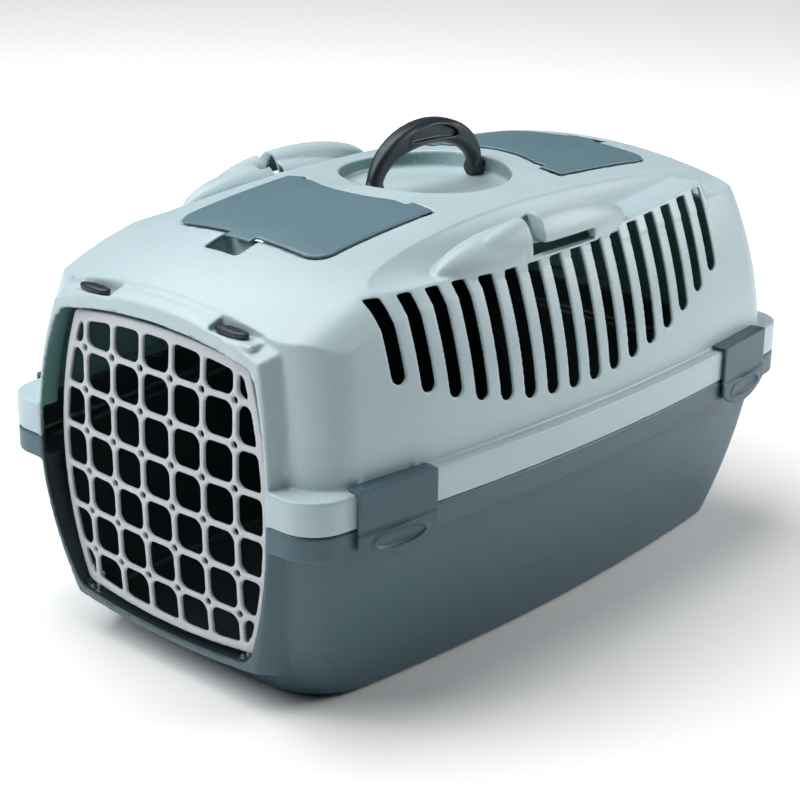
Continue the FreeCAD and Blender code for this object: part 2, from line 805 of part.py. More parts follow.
release_pads = []
release_slots = []
for name, sign in (("left", -1), ("right", 1)):
    centre = f"{sign} * release_x + release_travel / 2"
    release_pads.append(
        box(
            f"release_pad_{name}",
            ("release_length + release_travel + 6", "release_width + 5", "wall"),
            (centre, "release_y", "release_z - wall / 2"),
        )
    )
    release_slots.append(
        box(
            f"release_clearance_{name}",
            ("release_length + release_travel + 2", "release_width + 2", "20"),
            (centre, "release_y", "release_z + 10"),
        )
    )
    shank_centre = f"{sign} * (release_x - shank_inset) + release_travel / 2"
    release_slots.append(
        box(
            f"release_slot_{name}",
            ("shank + release_travel + 1", "shank + 1", "30"),
            (shank_centre, "release_y", "release_z"),
        )
    )
    release_slots.append(
        box(
            f"release_room_{name}",
            ("shank_foot + release_travel + 1", "shank_foot + 1", "10"),
            (shank_centre, "release_y", "release_z - wall - 5"),
        )
    )

scoops = feature("scoops", Part.makeCompound([scoop_volume(side, 0) for side in (-1, 1)]))
scoop_liners = feature(
    "scoop_liners",
    Part.makeCompound(
        [
            scoop_volume(side, dim("wall"))
            .common(upper_skin(0, dim("parting")))
            .common(roof_volume(0))
            for side in (-1, 1)
        ]
    ),
)


def clip_local(thing, side, y):
    """Moves a piece that is drawn in a clip's own frame to that clip's place."""
    thing.Placement = clip_frame(side, y)
    return thing


clip_ears = []
for clip_name, side, y in CLIPS:
    ears = [
        box(
            f"{clip_name}_ear_{end}",
            ("2 * clip_knuckle", "clip_ear", "clip_axis_z + clip_knuckle - flange_top + wall"),
            (
                "-clip_axis_in",
                f"{sign} * clip_ear_y",
                "(clip_axis_z + clip_knuckle + flange_top - wall) / 2 - parting",
            ),
        )
        for end, sign in (("a", -1), ("b", 1))
    ]
    hole = cylinder(
        f"{clip_name}_ear_hole",
        "clip_pin + pin_play",
        "clip_length",
        ("-clip_axis_in", "-clip_length / 2", "clip_axis_z - parting"),
        AXIS_Y,
    )
    ear_pair = cut(f"{clip_name}_ears", fuse(f"{clip_name}_ear_blanks", *ears), hole)
    clip_ears.append(clip_local(ear_pair, side, dim(y)))

upper_additions = fuse(
    "upper_additions",
    upper_skin_blank,
    scoop_liners,
    socket_bosses,
    *pivot_lugs,
    *release_pads,
)
upper_cutters = fuse(
    "upper_cutters",
    lid_openings,
    lid_pockets,
    *finger_notches,
    lid_rooms,
    lid_pin_holes,
    recess,
    handle_sockets,
    *pivot_holes,
    *release_slots,
    scoops,
)
belt_hooks = []
belt_cuts = []
for hand, sign in (("left", -1), ("right", 1)):
    belt_x = f"{sign} * (hook_x - belt_cut_in + belt_cut / 2)"
    for layer, skin in (("outer", "0"), ("inner", "wall")):
        hook = document.addObject("Part::Ellipsoid", f"belt_hook_{layer}_{hand}")
        bind(hook, "Radius1", f"hook_high - {skin}")
        bind(hook, "Radius2", f"hook_wide - {skin}")
        bind(hook, "Radius3", f"(hook_rear - hook_front) / 2 - {skin}")
        place(hook, (f"{sign} * hook_x", "(hook_front + hook_rear) / 2", "sill"))
        belt_hooks.append(hook)
    belt_cuts.append(
        box(
            f"belt_slot_{hand}",
            ("belt_cut", "belt_slot_width", "belt_slot_height"),
            (belt_x, "belt_slot_y", "sill + belt_floor + belt_slot_height / 2"),
        )
    )
    belt_cuts.append(
        box(
            f"belt_channel_{hand}",
            ("belt_cut", "belt_run", "belt_channel"),
            (
                belt_x,
                "belt_slot_y + belt_run / 2 - belt_slot_width / 2",
                "sill + belt_floor + belt_channel / 2",
            ),
        )
    )
hook_shells = [
    cut(f"belt_hook_{hand}", belt_hooks[index], belt_hooks[index + 1])
    for index, hand in ((0, "left"), (2, "right"))
]
sill_room = box("sill_room", ("2 * half_width", "300", "60"), ("0", "-37", "sill + 30 - wall"))
hook_halves = common("belt_hook_halves", fuse("belt_hook_pair", *hook_shells), sill_room)
hooks = cut("belt_hooks", hook_halves, fuse("belt_cuts", *belt_cuts))

upper_open = cut("upper_open", upper_additions, upper_cutters)
upper_vented = cut("upper_vented", upper_open, slots)
node(fuse("upper_shell_body", upper_vented, hooks, lid_lugs, *clip_ears), "upper_shell")


# ---------------------------------------------------------------- lower shell


def lower_blank():
    """The lower shell's tub with its flange, locating rim and the lower half of the doorway collar."""
    wall = dim("wall")
    parting = dim("parting")
    overlap = dim("parting_overlap")
    low = dim("flange_bottom")
    base = dim("foot_height")
    outside = lower_skin(0, base, low + wall)
    inside = lower_skin(-wall, base + wall, parting + overlap)
    flange = flange_prism(0, low, parting)
    hollow = flange_prism(-wall, low + wall, parting + overlap)
    collar = doorway_collar().common(below(parting))
    play = wall + dim("rim_gap")
    rim = flange_prism(-play, low + wall / 2, dim("rim_top"))
    rim = rim.cut(flange_prism(-play - dim("rim_wall"), low, dim("rim_top") + 1))
    tub = outside.fuse([flange, collar]).cut(inside.fuse(hollow)).fuse(rim)
    return tub.cut(doorway(-wall, dim("rim_front") + 1, dim("rim_depth") + 2))


lower_tub = feature("lower_tub", lower_blank())
low_lugs = []
low_holes = []
for name, sign in (("left", -1), ("right", 1)):
    x = f"{sign} * pivot_x"
    low_lugs.append(
        box(
            f"pivot_lug_lower_{name}",
            ("lug", "lug", "door_corner_low - lug_gap - rim_corner_low + 2"),
            (x, "pivot_y + 1", "(door_corner_low - lug_gap + rim_corner_low - 2) / 2"),
        )
    )
    low_holes.append(
        cylinder(
            f"pivot_hole_lower_{name}",
            "pin_radius + pin_play",
            "lug_hole + 1",
            (x, "pivot_y", "door_corner_low - lug_gap - lug_hole"),
        )
    )
    low_holes.append(
        box(
            f"pivot_mouth_lower_{name}",
            ("2 * (pin_radius - snap_lip)", "lug", "lug_hole + 1"),
            (x, "pivot_y - lug / 2", "door_corner_low - lug_gap - (lug_hole - 1) / 2"),
        )
    )
FEET = [
    ("foot_front_left", -1, -1),
    ("foot_front_right", 1, -1),
    ("foot_rear_left", -1, 1),
    ("foot_rear_right", 1, 1),
]
for name, across, along in FEET:
    low_holes.append(
        cylinder(
            f"{name}_hole",
            "foot_stem",
            "3 * wall",
            (f"{across} * foot_x", f"{along} * foot_y", "foot_height - wall"),
        )
    )
lower_with_lugs = fuse("lower_with_lugs", lower_tub, *low_lugs)
node(cut("lower_shell_body", lower_with_lugs, fuse("low_holes", *low_holes)), "lower_shell")

# ---------------------------------------------------------------- feet

for name, across, along in FEET:
    spot = (f"{across} * foot_x", f"{along} * foot_y")
    pad = cylinder(f"{name}_pad", "foot_radius", "foot_height", (*spot, "0"))
    stem = cylinder(f"{name}_stem", "foot_stem", "foot_height + wall", (*spot, "0"))
    node(fuse(f"{name}_body", pad, stem), name)

# ---------------------------------------------------------------- door and its pivot pins


def grille_openings():
    """The grille's openings: a grid of round-cornered cells inside the door's solid border."""
    bar = dim("bar_width")
    start, depth = -dim("door_blank_front"), dim("door_blank_depth")
    inside = prism(barrel_outline("door", -dim("door_frame"), start), (0, depth, 0))
    cells = []
    for column in range(-3, 4):
        for row in range(7):
            low = Vector(
                (column - 0.5) * dim("grid_x") + bar / 2,
                start,
                dim("grid_top") - row * dim("grid_z") + bar / 2,
            )
            cell = Part.makeBox(dim("grid_x") - bar, depth, dim("grid_z") - bar, low)
            cells.append(rounded(cell, dim("cell_corner"), (0, 1, 0)).common(inside))
    return Part.makeCompound(cells)


def door_ball(name, radius):
    """A ball whose surface is one face of the door."""
    ball = document.addObject("Part::Sphere", name)
    bind(ball, "Radius", radius)
    place(ball, ("0", "door_bulge - door_front", "door_centre"))
    return ball


door_prism = prism(
    barrel_outline("door", 0, -dim("door_blank_front")), (0, dim("door_blank_depth"), 0)
)
door_blank = feature("door_blank", rounded(door_prism, dim("door_corner"), (0, 1, 0)))
door_plate = cut(
    "door_plate",
    common("door_face", door_blank, door_ball("door_outer_ball", "door_bulge")),
    door_ball("door_inner_ball", "door_bulge - door_thick"),
)
node_holes = [
    cylinder(
        f"node_hole_{column}_{row}",
        "node_hole",
        "door_blank_depth",
        (f"({column} - 2.5) * grid_x", "-door_blank_front", f"grid_top - {row} * grid_z"),
        AXIS_Y,
    )
    for column in range(6)
    for row in range(6)
]
grille = cut("grille", door_plate, feature("grille_cells", grille_openings()))
grille = cut("grille_with_holes", grille, fuse("grille_holes", *node_holes))

PIVOTS = [
    ("upper_left", -1, "door_corner_top - knuckle_length"),
    ("upper_right", 1, "door_corner_top - knuckle_length"),
    ("lower_left", -1, "door_corner_low"),
    ("lower_right", 1, "door_corner_low"),
]
knuckles = []
knuckle_holes = []
for name, sign, low in PIVOTS:
    spot = (f"{sign} * pivot_x", "pivot_y")
    knuckles.append(cylinder(f"knuckle_{name}", "knuckle", "knuckle_length", (*spot, low)))
    knuckle_holes.append(
        cylinder(
            f"knuckle_hole_{name}",
            "pin_radius + pin_play",
            "knuckle_length + 6",
            (*spot, f"{low} - 3"),
        )
    )
door_with_knuckles = fuse("door_with_knuckles", grille, *knuckles)
node(cut("front_door_body", door_with_knuckles, fuse("knuckle_holes", *knuckle_holes)), "front_door")
pin_length = "knuckle_length + lug_gap + lug_hole - pin_tip_gap"
for name, sign, low in PIVOTS:
    start = low if "upper" in name else "door_corner_low - lug_gap - lug_hole + pin_tip_gap"
    node(
        cylinder(f"pin_{name}", "pin_radius", pin_length, (f"{sign} * pivot_x", "pivot_y", start)),
        f"door_pin_{name}",
    )

# ---------------------------------------------------------------- door releases

for hand, sign in (("left", -1), ("right", 1)):
    centre = f"{sign} * release_x"
    shank_x = f"{sign} * (release_x - shank_inset)"
    cap = box(
        f"release_cap_{hand}",
        ("release_length", "release_width", "release_height"),
        (centre, "release_y", "release_z + release_height / 2 + release_gap"),
    )
    shank = box(
        f"release_shank_{hand}",
        ("shank", "shank", "wall + 3"),
        (shank_x, "release_y", "release_z - wall / 2"),
    )
    foot = box(
        f"release_foot_{hand}",
        ("shank_foot", "shank_foot", "foot_plate"),
        (shank_x, "release_y", "release_z - wall - release_gap - foot_plate / 2"),
    )
    rounded_cap = document.addObject("Part::Fillet", f"release_round_{hand}")
    document.recompute()
    rounded_cap.Base = cap
    rounded_cap.Edges = [
        (index + 1, dim("release_round"), dim("release_round"))
        for index, edge in enumerate(cap.Shape.Edges)
        if edge.CenterOfMass.z > dim("release_z") + 1
    ]
    node(fuse(f"release_{hand}_body", rounded_cap, shank, foot), f"door_release_{hand}")

# ---------------------------------------------------------------- roof lids


def lid_shape(side):
    """A lid that follows the roof, with a finger tab and two hinge knuckles under its horns."""
    z = lid_hinge(side)[1]
    outer = dim("recess_y") + side * dim("lid_outer")
    tip = outer + side * dim("tab_reach")
    first, last = sorted((outer - side * dim("tab_reach"), tip))
    tab = block((-dim("tab_half"), first, ROOF_LOW), (dim("tab_half"), last, ROOF_HIGH))
    proud = dim("lid_proud")
    plate = roof_layer(lid_outline(0, side).fuse(tab), proud, proud - dim("lid_thick"))
    half = dim("lid_knuckle")
    lug_in, lug_out = dim("lid_lug_in"), dim("lid_lug_out")
    gap = dim("lug_play")
    plate = plate.cut(hinge_block(side, lug_in - gap, lug_out + gap / 2, half + 2 * gap, 8 * half))
    knuckles = hinge_block(side, lug_out + gap, dim("lid_knuckle_end"), half, half)
    knuckles = knuckles.common(roof_volume(proud)).cut(below(z - half))
    pins = lid_rods(side, dim("lid_pin"), lug_in + gap, dim("lid_knuckle_end"))
    return plate.fuse([knuckles, *pins])


for name, side in LIDS:
    node(feature(f"lid_{name}_body", lid_shape(side)), f"roof_lid_{name}")

# ---------------------------------------------------------------- carry handle


def handle_arch():
    """The arch: the space between two half ellipses that share a centre at the pivot height."""
    y, z = dim("recess_y"), dim("handle_pivot")
    half = dim("handle_thick") / 2
    rise = dim("handle_apex") - z

    def half_ellipse(long, high):
        centre = Vector(-half, y, z)
        curve = Part.Ellipse(centre + Vector(0, long, 0), centre + Vector(0, 0, high), centre)
        return curve.toShape(0, math.pi)

    outer = half_ellipse(dim("handle_half"), rise)
    inner = half_ellipse(dim("handle_half") - dim("handle_leg"), rise - dim("handle_grip"))
    ends = [
        line(
            (-half, y + sign * (dim("handle_half") - dim("handle_leg")), z),
            (-half, y + sign * dim("handle_half"), z),
        )
        for sign in (-1, 1)
    ]
    wire = Part.Wire(Part.sortEdges([outer, inner, *ends])[0])
    return prism(wire, (2 * half, 0, 0))


arch = feature("handle_arch", handle_arch())
leg_ends = [
    cylinder(
        f"handle_leg_{name}",
        "handle_thick / 2",
        "handle_leg",
        ("0", start, "handle_pivot"),
        AXIS_Y,
    )
    for name, start in (
        ("front", "recess_y - handle_half"),
        ("rear", "recess_y + handle_half - handle_leg"),
    )
]
handle_pins = [
    cylinder(
        f"handle_pin_{name}",
        "handle_pin",
        "handle_pin_length + handle_leg",
        ("0", start, "handle_pivot"),
        AXIS_Y,
    )
    for name, start in (
        ("front", "recess_y - handle_half - handle_pin_length"),
        ("rear", "recess_y + handle_half - handle_leg"),
    )
]
node(fuse("carry_handle_body", arch, *leg_ends, *handle_pins), "carry_handle")

# ---------------------------------------------------------------- side clips


def clip(name, side, y):
    """A clip in its own frame: X out of the flange's face, Y along it, Z up from the parting."""
    skirt = "clip_skirt - clip_low"
    arc_radius = f"(clip_length ^ 2 / 4 + ({skirt}) ^ 2) / (2 * ({skirt}))"
    plate = box(
        f"{name}_plate",
        ("clip_thick", "clip_length", "clip_top - clip_low"),
        ("clip_gap + clip_thick / 2", "0", "(clip_top + clip_low) / 2 - parting"),
    )
    bottom = cylinder(
        f"{name}_bottom",
        arc_radius,
        "2 * clip_thick",
        ("0", "0", f"clip_low - parting + {arc_radius}"),
        AXIS_X,
    )
    thumb = document.addObject("Part::Ellipsoid", f"{name}_thumb")
    bind(thumb, "Radius1", "thumb_high")
    bind(thumb, "Radius2", "thumb_deep")
    bind(thumb, "Radius3", "thumb_long")
    place(thumb, ("clip_gap + clip_thick", "0", "thumb_z - parting"))
    cover = box(
        f"{name}_cover",
        ("clip_axis_in + clip_gap + clip_thick", "clip_length", "clip_top - flange_top - clip_gap"),
        (
            "(clip_gap + clip_thick - clip_axis_in) / 2",
            "0",
            "(clip_top + flange_top + clip_gap) / 2 - parting",
        ),
    )
    roll = cylinder(
        f"{name}_roll",
        "clip_knuckle",
        "clip_length",
        ("-clip_axis_in", "-clip_length / 2", "clip_axis_z - parting"),
        AXIS_Y,
    )
    hook = box(
        f"{name}_hook",
        ("clip_hook + clip_gap + 1", "clip_hook_length", "clip_hook_high"),
        (
            "(clip_gap + 1 - clip_hook) / 2",
            "0",
            "flange_bottom - clip_gap - clip_hook_high / 2 - parting",
        ),
    )
    gaps = [
        box(
            f"{name}_gap_{end}",
            ("2 * clip_knuckle + 3", "clip_ear + 2 * ear_play", "20"),
            ("-clip_axis_in + 0.5", f"{sign} * clip_ear_y", "clip_axis_z - parting"),
        )
        for end, sign in (("a", -1), ("b", 1))
    ]
    pin = cylinder(
        f"{name}_pin",
        "clip_pin",
        "clip_length - 4",
        ("-clip_axis_in", "2 - clip_length / 2", "clip_axis_z - parting"),
        AXIS_Y,
    )
    front = cut(f"{name}_front", common(f"{name}_apron", plate, bottom), thumb)
    blank = fuse(f"{name}_blank", front, cover, roll, hook)
    hinged = cut(f"{name}_hinged", blank, fuse(f"{name}_gaps", *gaps))
    whole = fuse(f"{name}_body", hinged, pin)
    return node(clip_local(whole, side, y), name)


for name, side, y in CLIPS:
    clip(name, side, dim(y))

# ---------------------------------------------------------------- checks and files

document.recompute()
for thing in document.Objects:
    if "Invalid" in thing.State or "Error" in thing.State:
        raise RuntimeError(f"{thing.Name} did not build: {thing.State}")
for part in NODES:
    shape = part.Shape
    if shape.isNull() or not shape.isValid() or not shape.Solids:
        raise RuntimeError(f"{part.Label} has no valid solid")
    print(f"{part.Label}: {len(shape.Solids)} solid, {shape.Volume / 1000:.1f} cm3")

os.makedirs("parts", exist_ok=True)
for part in NODES:
    part.Shape.exportStep(f"parts/{part.Label}.step")
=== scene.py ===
"""A moulded plastic pet carrier: the looks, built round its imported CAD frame.

Every moulded piece starts as the signed distance of its CAD node on a fine grid. The grid is softened, so
that each edge gets the small radius of a moulding, and the details are added to it before it is meshed.
Grid coordinates are millimetres along the frame's axes; Blender's are metres.
"""

import json
import math

import bpy
import numpy as np
import openvdb
from mathutils import Euler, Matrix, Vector


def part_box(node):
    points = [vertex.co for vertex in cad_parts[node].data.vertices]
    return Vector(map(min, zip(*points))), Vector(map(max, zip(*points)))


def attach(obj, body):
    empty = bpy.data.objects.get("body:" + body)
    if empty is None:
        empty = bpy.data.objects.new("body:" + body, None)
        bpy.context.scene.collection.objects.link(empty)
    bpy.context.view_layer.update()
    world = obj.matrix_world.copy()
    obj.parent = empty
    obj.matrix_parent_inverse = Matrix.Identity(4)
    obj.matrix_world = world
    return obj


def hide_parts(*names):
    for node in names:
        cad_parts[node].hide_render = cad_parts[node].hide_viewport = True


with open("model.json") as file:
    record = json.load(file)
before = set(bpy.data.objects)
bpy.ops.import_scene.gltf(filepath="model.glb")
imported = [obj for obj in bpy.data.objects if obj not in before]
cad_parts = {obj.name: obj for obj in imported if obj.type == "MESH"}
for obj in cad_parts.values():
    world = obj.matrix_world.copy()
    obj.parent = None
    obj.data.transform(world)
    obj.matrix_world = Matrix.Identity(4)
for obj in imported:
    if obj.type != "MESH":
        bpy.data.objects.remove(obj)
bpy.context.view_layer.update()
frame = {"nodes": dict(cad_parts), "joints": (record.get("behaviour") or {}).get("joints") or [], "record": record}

MM = 0.001

# ---------------------------------------------------------------- camera

CAMERA_PLACE = (1.0493, -1.18575, 0.73156)
CAMERA_YAW = 42.06
CAMERA_PITCH = 20.26
CAMERA_ROLL = 0.75
CAMERA_LENS = 87.57

camera_data = bpy.data.cameras.new("camera")
camera_data.lens = CAMERA_LENS
camera_data.sensor_width = 36
camera_data.clip_end = 50
camera = bpy.data.objects.new("camera", camera_data)
camera.location = CAMERA_PLACE
turn = Euler((math.radians(90 - CAMERA_PITCH), 0, math.radians(CAMERA_YAW)), "XYZ").to_matrix()
roll = Euler((0, 0, math.radians(CAMERA_ROLL)), "XYZ").to_matrix()
camera.rotation_euler = (turn @ roll).to_euler("XYZ")
bpy.context.scene.collection.objects.link(camera)
bpy.context.scene.camera = camera

# ---------------------------------------------------------------- distance grids


def triangles_of(thing):
    """Welded points, in millimetres, and triangles of a mesh object."""
    mesh = thing.data
    mesh.calc_loop_triangles()
    points = np.empty(len(mesh.vertices) * 3, np.float32)
    mesh.vertices.foreach_get("co", points)
    corners = np.empty(len(mesh.loop_triangles) * 3, np.int32)
    mesh.loop_triangles.foreach_get("vertices", corners)
    microns = np.round(points.reshape(-1, 3) * 1e6).astype(np.int64)
    welded, index = np.unique(microns, axis=0, return_inverse=True)
    triangles = index.reshape(-1)[corners].reshape(-1, 3)
    a, b, c = triangles.T
    triangles = triangles[(a != b) & (b != c) & (a != c)]
    return (welded / 1000).astype(np.float32), triangles.astype(np.uint32)


def blurred(values, axis, weights):
    """The values after one pass of a symmetric kernel along an axis."""
    reach = len(weights) // 2
    result = values * weights[reach]
    for step in range(1, reach + 1):
        ahead = [slice(None)] * 3
        behind = [slice(None)] * 3
        ahead[axis] = slice(step, None)
        behind[axis] = slice(None, -step)
        result[tuple(behind)] += values[tuple(ahead)] * weights[reach + step]
        result[tuple(ahead)] += values[tuple(behind)] * weights[reach - step]
    return result


def union(a, b, soft=0.0):
    """Joins two solids given by their distances, with a fillet of about the soft size."""
    if soft == 0:
        return np.minimum(a, b)
    mix = np.clip(0.5 + 0.5 * (b - a) / soft, 0, 1)
    return b + (a - b) * mix - soft * mix * (1 - mix)


def minus(a, b, soft=0.0):
    """Takes the solid b out of the solid a, with a round of about the soft size."""
    return -union(-a, b, soft)


def ellipsoid(x, y, z, centre, radii):
    """A good estimate of the distance to an ellipsoid."""
    parts = [(u - c) / r for u, c, r in zip((x, y, z), centre, radii)]
    slopes = [(u - c) / r**2 for u, c, r in zip((x, y, z), centre, radii)]
    size = np.sqrt(sum(p * p for p in parts))
    slope = np.sqrt(sum(s * s for s in slopes)) + 1e-9
    return size * (size - 1) / slope


ROOM = 4.0  # voxels on each side of the surface that hold a distance
MARGIN = 4  # empty voxels round the grid
ADAPTIVITY = 0.15  # how readily flat stretches of the surface get larger polygons
# The "inner" attribute carries painted shade: faces turned towards the cabin's heart are painted darker.
INNER_SHADE_GAIN = 3  # how sharply the "inner" attribute rises as a face turns towards the heart
INNER_SHADE_START = 0.2  # the attribute's value on a face that is side-on to the heart


class Moulding:
    """The signed distance of a CAD node on a grid: negative inside the plastic, in millimetres."""

    def __init__(self, node, voxel):
        points, triangles = triangles_of(frame["nodes"][node])
        self.node = node
        self.voxel = voxel
        self.room = ROOM * voxel
        self.transform = openvdb.createLinearTransform(voxelSize=voxel)
        grid = openvdb.FloatGrid.createLevelSetFromPolygons(
            points, triangles=triangles, transform=self.transform, halfWidth=ROOM
        )
        low, high = (np.array(corner) for corner in grid.evalActiveVoxelBoundingBox())
        self.low = low - MARGIN
        self.value = np.empty(high - low + 1 + 2 * MARGIN, np.float32)
        grid.copyToArray(self.value, ijk=tuple(int(i) for i in self.low))

    def soften(self, radius):
        """Blurs the distance, which rounds every edge and fills every inside corner a little."""
        spread = radius / self.voxel
        reach = max(1, math.ceil(2.5 * spread))
        steps = np.arange(-reach, reach + 1)
        weights = np.exp(-0.5 * (steps / spread) ** 2).astype(np.float32)
        weights /= weights.sum()
        for axis in range(3):
            self.value = blurred(self.value, axis, weights)
        for axis in range(3):
            ends = [slice(None)] * 3
            for end in (0, -1):
                ends[axis] = end
                self.value[tuple(ends)] = self.room

    def edit(self, low, high, change):
        """Replaces the distances within a box by change(distance, x, y, z)."""
        first = np.clip(np.floor(np.array(low) / self.voxel).astype(int) - self.low, 0, None)
        last = np.ceil(np.array(high) / self.voxel).astype(int) - self.low + 1
        last = np.minimum(last, self.value.shape)
        if (last <= first).any():
            return
        window = tuple(slice(a, b) for a, b in zip(first, last))
        axes = [
            ((np.arange(a, b) + self.low[i]) * self.voxel).astype(np.float32)
            for i, (a, b) in enumerate(zip(first, last))
        ]
        x, y, z = axes[0][:, None, None], axes[1][None, :, None], axes[2][None, None, :]
        self.value[window] = change(self.value[window], x, y, z)

    def sample(self, points):
        """Distances at points, by linear interpolation."""
        spot = points / self.voxel - self.low
        spot = np.clip(spot, 0, np.array(self.value.shape) - 1.001)
        base = spot.astype(int)
        part = spot - base
        result = np.zeros(len(points))
        for corner in range(8):
            step = np.array([corner & 1, corner >> 1 & 1, corner >> 2 & 1])
            weight = np.prod(np.where(step, part, 1 - part), axis=1)
            i, j, k = (base + step).T
            result += weight * self.value[i, j, k]
        return result

    def normals(self, points):
        """Outward directions at points, from the slope of the distance."""
        step = 0.8 * self.voxel
        slope = np.empty_like(points)
        for axis in range(3):
            shift = np.zeros(3)
            shift[axis] = step
            slope[:, axis] = self.sample(points + shift) - self.sample(points - shift)
        length = np.linalg.norm(slope, axis=1, keepdims=True)
        return slope / np.maximum(length, 1e-9)

    def mesh(self, name, faces, heart=None):
        """A mesh of the zero surface, with at most about this many triangles.

        Faces that look towards the heart, a point in millimetres, are marked as inner ones, and the materials
        paint them darker as painted shade inside the cabin.
        """
        grid = openvdb.FloatGrid(self.room)
        clipped = np.clip(self.value, -self.room, self.room)
        grid.copyFromArray(clipped, ijk=tuple(int(i) for i in self.low), tolerance=1e-4)
        grid.transform = self.transform
        points, triangles, quads = grid.convertToPolygons(isovalue=0.0, adaptivity=ADAPTIVITY)
        polygons = triangles.tolist() + quads.tolist()
        mesh = bpy.data.meshes.new(name)
        mesh.from_pydata((points * MM).tolist(), [], polygons)
        thing = bpy.data.objects.new(name, mesh)
        bpy.context.scene.collection.objects.link(thing)
        count = len(triangles) + 2 * len(quads)
        if count > faces:
            fewer = thing.modifiers.new("fewer", "DECIMATE")
            fewer.ratio = faces / count
            fewer.use_collapse_triangulate = True
            bpy.context.view_layer.update()
            final = bpy.data.meshes.new_from_object(
                thing.evaluated_get(bpy.context.evaluated_depsgraph_get())
            )
            thing.modifiers.clear()
            thing.data = final
            final.name = name
        mesh = thing.data
        mesh.polygons.foreach_set("use_smooth", [True] * len(mesh.polygons))
        spots = np.empty(len(mesh.vertices) * 3)
        mesh.vertices.foreach_get("co", spots)
        spots = spots.reshape(-1, 3) / MM
        normals = self.normals(spots)
        mesh.normals_split_custom_set_from_vertices(normals.tolist())
        # How much painted shade each point gets: more, the more its face turns towards the heart.
        inner = mesh.attributes.new("inner", "FLOAT", "POINT")
        if heart is not None:
            away = spots - np.array((heart[0], 0, heart[2]))
            away[:, 1] = np.sign(spots[:, 1]) * np.maximum(np.abs(spots[:, 1]) - heart[1], 0)
            away /= np.maximum(np.linalg.norm(away, axis=1, keepdims=True), 1e-9)
            facing = -(normals * away).sum(axis=1)
            inner.data.foreach_set("value", np.clip(facing * INNER_SHADE_GAIN + INNER_SHADE_START, 0, 1))
        return thing


# ---------------------------------------------------------------- materials


def link(tree, source, output, target, entry):
    """Joins an output of one node to an input of another."""
    tree.links.new(source.outputs[output], target.inputs[entry])


# Scales of the noises that a plastic is made of, per metre, from the slowest to the finest.
WAVE_SCALE = 9
CLOUD_SCALE = 14
SCUFF_SCALE = 60
SPECK_SCALE = 620
GRAIN_SCALE = 1000
SCUFF_STRETCH = (1.0, 0.12, 1.6)
SCUFF_SHARE = (0.62, 0.74)  # where in the noise a scuff starts, and where it is full
SCUFF_ROUGHNESS = 0.10
WEAR_AND_HIGHLIGHT_EDGE = (0.53, 0.62)  # the pointiness at which an edge starts to look rubbed and lit, and is fully so: real rubbing and a painted highlight
WEAR_AND_HIGHLIGHT_COLOUR = (0.25, 0.9)  # the paler edge's colour, real rubbing and painted highlight: this much white, and this share of the plastic
TINT_RANGE = (0.93, 1.06)  # the darkest and the lightest cloud, as shares of the colour
SPECK_STRENGTH = 0.10
SHINE_RANGE = (-0.06, 0.08)  # how far the clouds move the roughness
WAVE_DEPTH = 0.002
GRAIN_DEPTH = 0.00012


def tinted(colour, share, lift=0.0):
    """A share of a colour with some white added, as the four numbers of a socket."""
    return (*(min(1, lift + share * c) for c in colour), 1)


